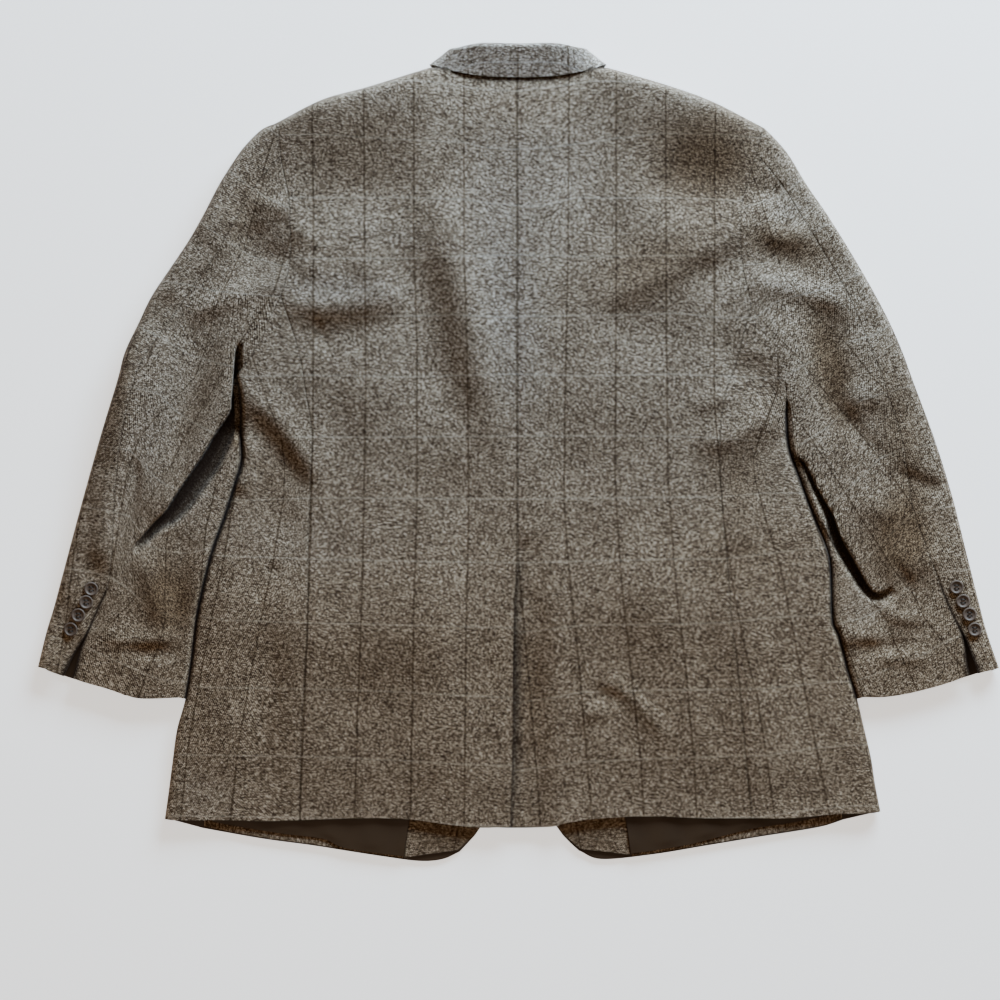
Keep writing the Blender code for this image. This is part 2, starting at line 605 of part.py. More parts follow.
def over_lapel(reach, y):
    """Lift over a lapel and the collar's front end, at a distance towards its own side."""
    rows, reaches = zip(*LAPEL_REACH)
    beyond = reach - np.interp(y, rows, reaches) - LIFT_MARGIN
    started = smooth_step((y - LAPEL_LIFT_Y) / LIFT_EASE)
    return LAPEL_LIFT * (1.0 - smooth_step(beyond / LIFT_EASE)) * started


def right_front_base(plan):
    """Height of what the right front's lapel lies on: the left front near the centre, else the floor."""
    x, y = plan[..., 0], plan[..., 1]
    over_left = 1.0 - smooth_step((x - OVERLAP_LIFT_X) / OVERLAP_EASE)
    over_left = over_left * smooth_step((y - OVERLAP_FOOT_Y) / OVERLAP_FOOT_EASE)
    over_left = over_left * (1.0 - smooth_step((y - OVERLAP_HEAD_Y) / OVERLAP_HEAD_EASE))
    return over_left * (left_front_floor(plan) + LAYER + FRONT_EASE)


def right_front_floor(plan):
    """Height of the right front's outside."""
    return right_front_base(plan) + over_lapel(plan[..., 0], plan[..., 1])


FRONT_FLOORS = {"left": left_front_floor, "right": right_front_floor}


def front_panel(side, collection):
    """A front, face down, from the shoulder seam to the hem."""
    lines = OUTLINES[side]
    shared = seams(side)
    across = front_columns()
    edge = shared["shoulder"][::-1]
    outward = shared["shoulder_out"][::-1]
    top = edge - SHOULDER_ROLL * outward
    outer_line = joined(shared["lower_armhole"][: FRONT_ARM_CELLS + 1], shared["front_seam"])
    top[0] = outer_line[0]
    rows = len(outer_line)
    roll_line = lines["front_edge"][:2]
    above = even(roll_line, int(rows * FRONT_ROWS_ABOVE))
    below = even(lines["front_edge"][1:], rows - len(above))
    centre = joined(above, below)
    centre[0] = top[-1]
    hem = smooth_line(lines["front_hem"], across)
    plan = coons(top, hem, outer_line, centre, across)
    floor = FRONT_FLOORS[side]
    outer, inner = lower_layer(plan, floor(plan))
    turns = np.linspace(math.pi / 2, math.pi, ROLL_CELLS // 2 + 1)[:-1]
    upper = body_height(top[None])[0]
    low = outer[0, :, 2]
    roll_outer, roll_inner = rolled_edge(edge, outward, SHOULDER_ROLL, upper - low, low, turns)
    outer = np.concatenate([np.moveaxis(roll_outer, 0, 1), outer])
    inner = np.concatenate([np.moveaxis(roll_inner, 0, 1), inner])
    outer = drawn_in(outer, SEAM_GAP / 2, "first", "first")
    inner = drawn_in(inner, SEAM_GAP / 2, "first", "first")
    cloth_piece(f"front_{side}", outer, inner, collection)


def lapel(side, collection):
    """The lapel, turned out along its roll line under the front."""
    lines = OUTLINES[side]
    roll = even(lines["lapel_roll"], LAPEL_CELLS)
    edge = even(lines["lapel_edge"], LAPEL_CELLS)
    across = np.linspace(0.0, 1.0, LAPEL_CELLS_ACROSS + 1)
    plan = roll[:, None] + (edge - roll)[:, None] * across[None, :, None]
    floor = right_front_base(plan) if side == "right" else np.zeros(plan.shape[:2])
    cloth_piece(f"lapel_{side}", *lower_layer(plan, floor), collection)


def sleeve(side, collection):
    """The two pieces of a sleeve: the top sleeve turns under at the outer edge, the under sleeve at
    the inner one. They meet at the hind seam above and at the fore seam below."""
    lines = OUTLINES[side]
    shared = seams(side)
    sign = SIGNS[side]
    outer_edge = even(lines["sleeve_outer"], SLEEVE_CELLS)
    inner_edge = smooth_line(lines["sleeve_inner"], np.linspace(0.0, 1.0, SLEEVE_CELLS + 1) ** INNER_SPACING)
    hind = even(lines["hind_seam"], SLEEVE_CELLS)
    outer_out = edge_normals(outer_edge, sign)
    outer_out[0] = shared["tip_out"]
    inner_out = turned_from(shared["underarm_out"], edge_normals(inner_edge, -sign))
    outer_start = outer_edge - SLEEVE_OUTER_ROLL * outer_out
    inner_start = inner_edge - SLEEVE_INNER_ROLL * inner_out

    cap = shared["cap"].copy()
    outer_start[0] = cap[0]
    arm = joined(shared["armhole"], shared["underarm"])
    away = sign * np.array([-shared["underarm_out"][1], shared["underarm_out"][0]])
    near_underarm = np.linspace(0.0, 1.0, UNDERARM_CELLS + 1)[1:, None]
    arm[ARM_CELLS + 1:] += UNDERARM_EASE * near_underarm * away
    inner_start[0] = arm[-1]
    cuff = even(lines["cuff"], CUFF_POINTS)
    split = int(np.argmin(np.linalg.norm(cuff - hind[-1], axis=1)))
    hind[-1] = cuff[split]
    cap_share = np.linspace(0.0, 1.0, CAP_CELLS + 1)
    arm_share = np.linspace(0.0, 1.0, ARM_CELLS + UNDERARM_CELLS + 1)
    cuff_cap = smooth_line(np.vstack([outer_start[-1], cuff[split // 2], cuff[split]]), cap_share)
    cuff_arm = smooth_line(np.vstack([cuff[split:][CUFF_ABOVE], inner_start[-1]]), arm_share)
    cap_plan = coons(cap, cuff_cap, outer_start, hind, cap_share)
    arm_plan = sleeve_patch(arm, cuff_arm, hind, inner_start, arm_share)

    below = shared["lower_armhole"]
    below_share = np.linspace(0.0, 1.0, len(below))
    cuff_below = smooth_line(np.vstack([outer_start[-1], cuff[CUFF_BELOW], inner_start[-1]]), below_share)
    cross = np.linspace(0.0, 1.0, SLEEVE_CELLS + 1)[:, None]
    fore = inner_start + FORE_SEAM_SHARE * (outer_start - inner_start)
    fore = fore + (below[-2] - fore[0]) * (1.0 - cross) ** 4
    fore[-1] = cuff_below[-2]
    under_plan = coons(below[:-1], cuff_below[:-1], outer_start, fore, below_share[:-1] / below_share[-2])

    turns = np.linspace(0.0, math.pi, ROLL_CELLS + 1)[1:-1]
    flat = np.zeros(SLEEVE_CELLS + 1)
    cap_outer, cap_inner = upper_layer(cap_plan, sleeve_height)
    arm_outer, arm_inner = upper_layer(arm_plan, sleeve_height)
    out_outer, out_inner = rolled_edge(
        outer_edge, outer_out, SLEEVE_OUTER_ROLL, cap_outer[:, 0, 2], flat, turns)
    in_outer, in_inner = rolled_edge(
        inner_edge, inner_out, SLEEVE_INNER_ROLL, arm_outer[:, -1, 2], flat, turns)
    low_outer, low_inner = lower_layer(under_plan, 0.0)
    strip_plan = np.stack([inner_start, fore], axis=1)
    strip_outer, strip_inner = lower_layer(strip_plan, 0.0)

    top_outer = np.concatenate([cap_outer[:, ::-1], out_outer, low_outer], axis=1)
    top_inner = np.concatenate([cap_inner[:, ::-1], out_inner, low_inner], axis=1)
    under_outer = np.concatenate([arm_outer, in_outer, strip_outer], axis=1)
    under_inner = np.concatenate([arm_inner, in_inner, strip_inner], axis=1)
    for name, outer, inner in (("top", top_outer, top_inner), ("under", under_outer, under_inner)):
        outer = drawn_in(outer, SEAM_GAP / 2, "first", "first last")
        inner = drawn_in(inner, SEAM_GAP / 2, "first", "first last")
        cloth_piece(f"{name}_sleeve_{side}", outer, inner, collection)


def collar(collection):
    """Stand and fall in one band, folded along the top and carried round the neck to both fronts."""
    table = np.array(COLLAR, float)
    mirrored = table[:0:-1].copy()
    mirrored[:, [0, 3, 6]] *= -1.0
    stations = smooth_line(
        np.vstack([table[::-1], mirrored[::-1]]),
        np.linspace(0.0, 1.0, 2 * COLLAR_STEPS * (len(COLLAR) - 1) + 1),
    )
    seam = stations[:, 0:3]
    stand_way = unit(stations[:, 3:6])
    outside = unit(stations[:, 6:9] - np.sum(stations[:, 6:9] * stand_way, axis=1)[:, None] * stand_way)
    stand, fall, apart = stations[:, 9], stations[:, 10], stations[:, 11]
    radius = apart / 2.0
    turns = np.linspace(-math.pi / 2, math.pi / 2, 5)[None, :]

    def band(offset):
        """The band's section, moved out of its middle by the offset."""
        arc = radius[:, None] + offset
        fold_q = (stand - radius)[:, None] + arc * np.cos(turns)
        fold_p = radius[:, None] + arc * np.sin(turns)
        q = np.concatenate([np.zeros((len(seam), 1)), (stand - radius)[:, None] * 0.5, fold_q,
                            (stand - radius - fall * 0.5)[:, None], (stand - radius - fall)[:, None]], axis=1)
        p = np.concatenate([np.full((len(seam), 2), -offset), fold_p,
                            (apart + offset)[:, None], (apart + offset)[:, None]], axis=1)
        return seam[:, None] + q[..., None] * stand_way[:, None] + p[..., None] * outside[:, None]

    cloth_piece("collar", band(WALL / 2), band(-WALL / 2), collection)


def hem_strips(side, collection):
    """What shows inside the front below the back's hem: facing, lining and the turned-up hem."""
    lines = OUTLINES[side]
    inner_line = even(lines["facing_inner"], FACING_CELLS)
    edge = even(lines["facing_edge"], FACING_CELLS)
    across = np.linspace(0.0, 1.0, FACING_CELLS_ACROSS + 1)
    plan = inner_line[:, None] + (edge - inner_line)[:, None] * across[None, :, None]
    base = FRONT_FLOORS[side](plan) + LAYER
    cloth_piece(f"facing_{side}", with_height(plan, base), with_height(plan, base + HEM_WALL), collection)

    foot = even(lines["lining_foot"], HEM_CELLS)
    head = foot.copy()
    head[:, 1] = lines["facing_inner"][0][1]
    inset = SEAM_GAP * SIGNS[side]
    head[-1, 0] = lines["facing_inner"][0][0] + inset
    down = np.linspace(0.0, 1.0, LINING_CELLS_DOWN + 1)
    plan = head[:, None] + (foot - head)[:, None] * down[None, :, None]
    plan[-1, :, 0] = smooth_line(lines["facing_inner"], down)[:, 0] + inset
    base = LAYER + HEM_WALL + SEAM_GAP
    cloth_piece(f"lining_{side}", with_height(plan, base), with_height(plan, base + LINING_WALL),
                collection, "lining")

    edge = even(lines["hem_edge"], HEM_CELLS)
    top = edge + [0.0, HEM_DEPTH]
    top[-1, 0] = edge[-1, 0] = edge[-1, 0] + inset
    plan = np.stack([top, 0.5 * (top + edge), edge], axis=1)
    cloth_piece(f"hem_{side}", with_height(plan, LAYER), with_height(plan, LAYER + HEM_WALL), collection)


def button(name, radius, thick, place, facing, collection):
    """A turned button: a dished face inside a raised rim. It lies on its place and looks along facing."""
    mesh = bpy.data.meshes.new(name)
    disc = bmesh.new()
    rings = []
    angles = np.linspace(0.0, 2 * math.pi, BUTTON_SEGMENTS, endpoint=False)
    for reach, height in BUTTON_PROFILE:
        ring = []
        for angle in angles:
            across = reach * radius * math.cos(angle)
            up = reach * radius * math.sin(angle)
            ring.append(disc.verts.new(Vector((across, up, height * thick)) * MM))
        rings.append(ring)
    for upper, lower in zip(rings, rings[1:]):
        for k in range(BUTTON_SEGMENTS):
            after = (k + 1) % BUTTON_SEGMENTS
            disc.faces.new((upper[k], lower[k], lower[after], upper[after]))
    middle = disc.verts.new((0.0, 0.0, BUTTON_DISH * thick * MM))
    for k in range(BUTTON_SEGMENTS):
        disc.faces.new((middle, rings[0][k], rings[0][(k + 1) % BUTTON_SEGMENTS]))
    disc.faces.new(rings[-1][::-1])
    disc.to_mesh(mesh)
    disc.free()
    piece = add_object(name, mesh, "button", collection)
    piece.location = Vector(place) * MM
    piece.rotation_mode = "QUATERNION"
    piece.rotation_quaternion = Vector((0.0, 0.0, 1.0)).rotation_difference(Vector(facing))


def buttons(collection):
    """Four on each cuff, and two on the right front that hold the left front closed below it."""
    for side, places in CUFF_BUTTONS.items():
        for number, place in enumerate(places, 1):
            around = np.array([[place, (place[0] + 1, place[1]), (place[0], place[1] + 1)]], float)
            heights = sleeve_height(around)[0]
            facing = (heights[0] - heights[1], heights[0] - heights[2], 1.0)
            slope = math.hypot(facing[0], facing[1])
            lift = CUFF_BUTTON_LIFT + CUFF_BUTTON_TILT * CUFF_BUTTON_R * slope
            button(f"cuff_button_{side}_{number}", CUFF_BUTTON_R, CUFF_BUTTON_THICK,
                   (*place, float(heights[0]) + lift), facing, collection)
    for number, name in enumerate(("top", "lower")):
        y = TOP_BUTTON_Y - number * FRONT_BUTTON_SPACING
        button(f"front_button_{name}", FRONT_BUTTON_R, FRONT_BUTTON_THICK,
               (0.0, y, FRONT_BUTTON_THICK), (0.0, 0.0, -1.0), collection)


def build():
    for old in list(bpy.data.objects):
        bpy.data.objects.remove(old, do_unlink=True)
    coat = bpy.data.collections.new("sport_coat")
    bpy.context.scene.collection.children.link(coat)
    for side in ("left", "right"):
        back_panel(side, coat)
        side_panel(side, coat)
        front_panel(side, coat)
        lapel(side, coat)
        sleeve(side, coat)
        hem_strips(side, coat)
    collar(coat)
    buttons(coat)


build()
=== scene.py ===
"""The looks of a tweed sport coat that lies flat with its back up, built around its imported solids.

The collar points to +Y and the wearer's left is at -X. Lengths are in millimetres until a mesh is
made. Each cut piece is a grid of points: smooth lines give its seams, a Coons patch fills them, a
height formula with a table of folds lifts the upper layer, and half an ellipse carries it round a
folded edge. Each piece also has its cloth coordinates, which follow the check as it lies.
"""

import math

import bpy
import numpy as np
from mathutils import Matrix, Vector


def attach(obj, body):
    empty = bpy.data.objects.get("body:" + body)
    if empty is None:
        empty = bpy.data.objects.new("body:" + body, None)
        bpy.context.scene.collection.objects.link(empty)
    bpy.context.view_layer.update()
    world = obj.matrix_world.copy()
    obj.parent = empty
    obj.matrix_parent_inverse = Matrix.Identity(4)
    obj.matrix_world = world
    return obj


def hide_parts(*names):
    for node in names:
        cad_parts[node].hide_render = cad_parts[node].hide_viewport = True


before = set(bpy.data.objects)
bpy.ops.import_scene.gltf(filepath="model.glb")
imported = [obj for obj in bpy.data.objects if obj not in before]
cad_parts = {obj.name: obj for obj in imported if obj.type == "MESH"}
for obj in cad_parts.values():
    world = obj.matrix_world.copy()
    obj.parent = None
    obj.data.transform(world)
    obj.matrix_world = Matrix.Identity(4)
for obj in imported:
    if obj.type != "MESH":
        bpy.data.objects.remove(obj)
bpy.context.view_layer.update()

MM = 0.001
MM_PER_METRE = 1000.0

# Cloth and seams
WALL = 2.0
HEM_WALL = 1.5
LINING_WALL = 1.0
SEAM_GAP = 0.3
SEAM_LAP = 0.1  # how far two pieces go into one seam, so no light comes through
LAYER = WALL + SEAM_GAP
SEAM_STEPS = [0.5, 1.2, 2.4]  # extra lines of points beside a seam
SEAM_DIP = 0.45  # how far the cloth sinks into a seam
SEAM_REACH = 1.4

# Rolled edges
SHOULDER_ROLL = 9.0
NECK_ROLL_X = 76.0  # the shoulder starts to roll here
NECK_ROLL_EASE = 18.0
BODY_ROLL = 8.0
SLEEVE_OUTER_ROLL = 9.0
SLEEVE_INNER_ROLL = 7.0
ROLL_CELLS = 12  # round half an ellipse
EDGE_TURN = ([0.0, 1.0, 2.0], [0.0, 0.7, 1.0])  # coarse rows below another edge, share of the turn
UNDERARM_EASE = -0.6  # of the sleeve's underarm from the body: below 0, it goes in
FORE_SEAM_SHARE = 0.3  # where the fore seam lies, from the inner roll to the outer one

# Grid cells
CELL = 4.0  # usual side of one
FINE_CELL = 2.0  # on the sleeves, where the deep folds are
FLAT_CELL = 8.0  # on what lies underneath
LINE_FINE = 16  # steps of a smooth line between two of its points
FOLD_FINE = 160  # points along a deep fold
NECK_FINE = 26
SHOULDER_FINE = 46
CUFF_FINE = 60

# Stretches of the panels' borders: how many coarse cells, and the length to fill with grid cells
CAP_SPAN = (2, 35)  # from the shoulder tip to the armhole's head
ARMHOLE_SPAN = (6, 155)
UNDERARM_SPAN = (5, 105)
LOWER_ARMHOLE_SPAN = (3, 230)
SIDE_SPAN = (20, 560)  # from the armhole's foot to the hem
SLEEVE_SPAN = (17, 640)
SLEEVE_ACROSS = (1, 60)  # from the outer edge to a seam
SIDE_ACROSS = (1, 115)
SIDE_BELOW = (1, 70)
FRONT_EDGE_CELLS = (13, 10)  # of the front edge, above and below its second point
FRONT_NECK_CELLS = 4  # over which it is drawn to the shoulder's end
VENT_ROWS = [0, 18, 19, 28]  # coarse rows: the neck, the vent's top, the full lap, the hem

SIGNS = {"left": -1.0, "right": 1.0}

# Buttons
CUFF_BUTTON_R = 7.5
CUFF_BUTTON_THICK = 2.8
FRONT_BUTTON_R = 10.5
FRONT_BUTTON_THICK = 3.4
FRONT_BUTTON_SPACING = 108.0
TOP_BUTTON_Y = -30.0
CUFF_BUTTON_LIFT = 0.6
CUFF_BUTTON_TILT = 0.15
BUTTON_PROFILE = [(0.0, 0.60), (0.30, 0.60), (0.58, 0.64), (0.68, 0.78), (0.78, 0.97), (0.86, 1.0),
                  (0.94, 0.93), (0.99, 0.74), (1.0, 0.52), (0.96, 0.24), (0.86, 0.0), (0.0, 0.0)]
BUTTON_RINGS = 60
BUTTON_ANGLES = 72
BUTTON_TOP_SHARE = 0.3  # share of the profile that the holes go through
HOLE_OFFSET = 0.2448  # of the four holes along x and along y, as a share of the radius
HOLE_RADIUS = 0.125
HOLE_EASE = 0.5  # how soft a hole's edge is, as a share of its radius
HOLE_DEPTH = 0.45  # as a share of the thickness
THREAD_R = 0.38
THREAD_STEPS = 13
THREAD_SIDES = 10
THREAD_FOOT = 0.46  # height of a stitch's ends, and of its middle above them,
THREAD_RISE = 0.42  # as shares of the thickness
SHANK_R = 2.4 * THREAD_R
SHANK_DEPTH = 2.5 * CUFF_BUTTON_LIFT
SHANK_TOP = 0.1
TUBE_END = 0.02  # share of a tube's radius at its closed ends

# Lifts of the fronts over what they lie on
BUTTON_LIFT = FRONT_BUTTON_THICK + 0.4
BUTTON_LIFT_X = 60.0  # half its width, and half its length
BUTTON_LIFT_Y = 100.0
LAPEL_LIFT = LAYER + 0.7
LAPEL_LIFT_Y = -80.0
LAPEL_REACH = [(-60, 20), (90, 75), (250, 155), (334, 175), (420, 120)]  # y, the lapel's reach there
LIFT_MARGIN = 15.0
LIFT_EASE = 40.0
FRONT_EASE = 1.0
OVERLAP_LIFT_X = 50.0  # the right front lies on the left one up to here
OVERLAP_EASE = 45.0
OVERLAP_FOOT_Y = -325.0
OVERLAP_FOOT_EASE = 25.0
OVERLAP_HEAD_Y = 90.0
OVERLAP_HEAD_EASE = 60.0

# Centre back and its vent
VENT_TOP_Y = -105.0
LAP_FULL_Y = -135.0
CENTRE_HEM_Y = -397.0
LAP_WIDTH = 42.0  # how far the right half reaches under the left one
LAP_FLARE = 8.0  # how much further at the hem
LAP_DROP = WALL + 1.0
LAP_REACH = 8.0  # up to here it is at its lowest
LAP_EASE = 24.0

# The check: its size in the cloth
STRIPE_SPACING = 53.0
BAR_SPACING = 65.0

# Outlines, x then y, each side as it lies
OUTLINES = {
    "left": {
        "neck": [(0, 406), (-50, 408), (-94, 410)],
        "shoulder": [(-94, 410), (-158, 390), (-208, 376), (-258, 351)],
        "armhole": [(-252, 316), (-249, 299), (-243, 270), (-242, 242), (-241, 218), (-244, 193),
                    (-252, 167)],
        "underarm": [(-252, 167), (-262, 147), (-271, 125), (-284, 103), (-300, 81)],
        "side_seam": [(-252, 167), (-238, 126), (-230, 94), (-225, 62), (-219, 21), (-221, -49),
                      (-223, -113), (-224, -198), (-230, -283), (-232, -390)],
        "body_edge": [(-300, 81), (-296, 57), (-295, 20), (-294, -8), (-302, -36), (-312, -67),
                      (-325, -103), (-335, -142), (-342, -177), (-347, -218), (-354, -261),
                      (-363, -294), (-368, -330), (-373, -368), (-376, -389)],
        "front_seam": [(-262, 147), (-258, 100), (-255, 40), (-256, -10), (-268, -67), (-290, -130),
                       (-305, -200), (-316, -270), (-328, -340), (-335, -399)],
        "sleeve_outer": [(-258, 351), (-272, 345), (-287, 331), (-299, 316), (-318, 286), (-333, 257),
                         (-350, 227), (-370, 197), (-390, 167), (-404, 138), (-418, 108), (-426, 78),
                         (-444, 19), (-461, -41), (-477, -100), (-493, -160), (-502, -190), (-511, -227)],
        "hind_seam": [(-252, 316), (-279, 284), (-304, 240), (-320, 212), (-341, 184), (-364, 149),
                      (-381, 126), (-400, 97), (-413, 57), (-424, 0), (-429, -60), (-434, -131),
                      (-448, -168), (-459, -192), (-471, -212), (-483, -237)],
        "sleeve_inner": [(-303.8, 81), (-296.9, 57), (-295.9, 20), (-294.9, -8), (-302.8, -36),
                         (-312.8, -67), (-325.8, -103), (-335.8, -142), (-342.8, -177),
                         (-347.9, -218), (-356, -261)],
        "cuff": [(-511, -227), (-483, -237), (-474, -240), (-431, -252), (-406, -260), (-356, -261)],
        "back_hem": [(-8, -397), (-41, -398), (-80, -394), (-118, -389), (-170, -388), (-232, -390)],
        "side_hem": [(-232, -390), (-270, -391), (-311, -390), (-376, -389)],
        "front_hem": [(-335, -399), (-273, -410), (-221, -417), (-183, -423), (-144, -429),
                      (-105, -434), (-80, -432), (-62, -424)],
        "front_edge": [(-94, 410), (18, -30), (19, -90), (18, -150), (14, -210), (6, -270), (-8, -330),
                       (-24, -370), (-41, -400), (-49, -410), (-62, -424)],
        "lapel_roll": [(-82, 358), (10, -4)],
        "lapel_edge": [(-158, 334), (-140, 250), (-60, 90), (2, -2)],
        "facing_inner": [(-104, -350), (-116, -394), (-121, -430)],
        "facing_edge": [(-18, -350), (-26, -374), (-43, -401), (-51, -410), (-64, -422)],
        "lining_foot": [(-325, -392), (-293, -398), (-248, -405), (-208, -410), (-188, -419),
                        (-160, -424), (-122, -429)],
        "hem_edge": [(-334, -397), (-273, -408.5), (-221, -415.5), (-183, -421.5), (-144, -427.5),
                     (-122, -430.5)],
    },
    "right": {
        "neck": [(0, 406), (50, 408), (95, 410)],
        "shoulder": [(95, 410), (162, 390), (206, 374), (262, 346)],
        "armhole": [(253, 318), (247, 299), (239, 270), (236, 245), (237, 217), (240, 190), (248, 160)],
        "underarm": [(248, 160), (257, 137), (267, 118), (279, 95), (286, 57)],
        "side_seam": [(248, 160), (238, 120), (231, 94), (220, 62), (215, 20), (217, -56), (222, -108),
                      (227, -177), (234, -228), (243, -326), (251, -388)],
        "body_edge": [(286, 57), (286, 36), (289, 5), (301, -30), (314, -64), (328, -99), (333, -122),
                      (335, -177), (342, -194), (351, -229), (361, -261), (368, -290), (376, -324),
                      (380, -350), (386, -381)],
        "front_seam": [(257, 137), (250, 100), (246, 40), (250, 0), (268, -55), (285, -105), (294, -170),
                       (310, -230), (326, -290), (338, -340), (346, -390)],
        "sleeve_outer": [(262, 346), (276, 332), (289, 316), (307, 286), (327, 257), (346, 227),
                         (364, 197), (381, 167), (396, 138), (409, 108), (420, 78), (442, 19),
                         (461, -41), (476, -100), (491, -160), (499, -190), (512, -228)],
        "hind_seam": [(253, 318), (281, 284), (305, 245), (330, 205), (352, 165), (378, 104), (395, 56),
                      (409, 11), (420, -58), (445, -129), (461, -169), (476, -198), (489, -234)],
        "sleeve_inner": [(287.2, 56), (286.9, 36), (289.9, 5), (301.8, -30), (314.8, -64),
                         (328.8, -99), (333.8, -122), (335.9, -177), (342.8, -194), (351.9, -229),
                         (363, -261)],
        "cuff": [(512, -228), (489, -234), (470, -240), (448, -247), (406, -257), (363, -261)],
        "back_hem": [(-50, -396), (-8, -398), (35, -397), (51, -393), (89, -388), (143, -386),
                     (198, -388), (251, -388)],
        "side_hem": [(251, -388), (290, -388), (334, -384), (386, -381)],
        "front_hem": [(346, -390), (320, -398), (252, -409), (198, -418), (143, -427), (89, -432),
                      (65, -423)],
        "front_edge": [(95, 410), (-18, -30), (-19, -90), (-17, -150), (-12, -210), (-3, -270),
                       (10, -330), (25, -370), (41, -397), (51, -410), (65, -423)],
        "lapel_roll": [(82, 358), (-10, -4)],
        "lapel_edge": [(158, 334), (140, 250), (60, 90), (-2, -2)],
        "facing_inner": [(105, -350), (115, -392), (120, -427)],
        "facing_edge": [(19, -350), (28, -372), (43, -398), (53, -409), (67, -421)],
        "lining_foot": [(330, -385), (292, -393), (252, -399), (211, -409), (184, -416), (149, -422),
                        (121, -426)],
        "hem_edge": [(345, -388.5), (320, -396.5), (252, -407.5), (198, -416.5), (143, -425.5),
                     (121, -428.5)],
    },
}

# Vent edge of the left back, which lies on top: y, x
VENT_EDGE = [(-105, 0), (-165, -4), (-228, -5), (-292, -5), (-344, -6), (-397, -8)]

# Height of the upper layer where the cloth lies smooth: distance from the centre, y, height
CROWN = [
    (0, 410, 27), (0, 300, 29), (0, 200, 29), (0, 100, 26), (0, 0, 22), (0, -100, 18), (0, -200, 15.5),
    (0, -300, 13.5), (0, -395, 12),
    (125, 390, 26), (130, 260, 31), (120, 120, 27), (110, 0, 22), (110, -130, 17), (120, -260, 14),
    (120, -395, 12),
    (225, 345, 24), (230, 255, 30), (230, 150, 27), (235, 50, 23), (225, -60, 19), (250, -200, 15),
    (255, -390, 12),
    (300, -60, 17), (335, -220, 13), (370, -380, 11.5),
    (290, 310, 22), (320, 215, 26), (370, 130, 24), (345, 40, 22), (415, 40, 21), (390, -50, 19),
    (455, -70, 17), (370, -150, 15), (460, -150, 15), (400, -240, 13), (490, -215, 12),
]
CROWN_BOTH_SIDES = CROWN + [(-reach, row_y, height) for reach, row_y, height in CROWN if reach]
CROWN_SPREAD = 55.0
LOWEST_UPPER = 5.2
LOWEST_EASE = 1.5  # how sharply the height turns level as it nears its lowest
STEEPEST = 1.4  # most that a slope adds to the wall's upright thickness

# The photo's scale, and the pixel that lies at x = 0, y = 0
MM_PER_PIXEL = 1.0625
PHOTO_X = 518.0
PHOTO_Y = 453.5

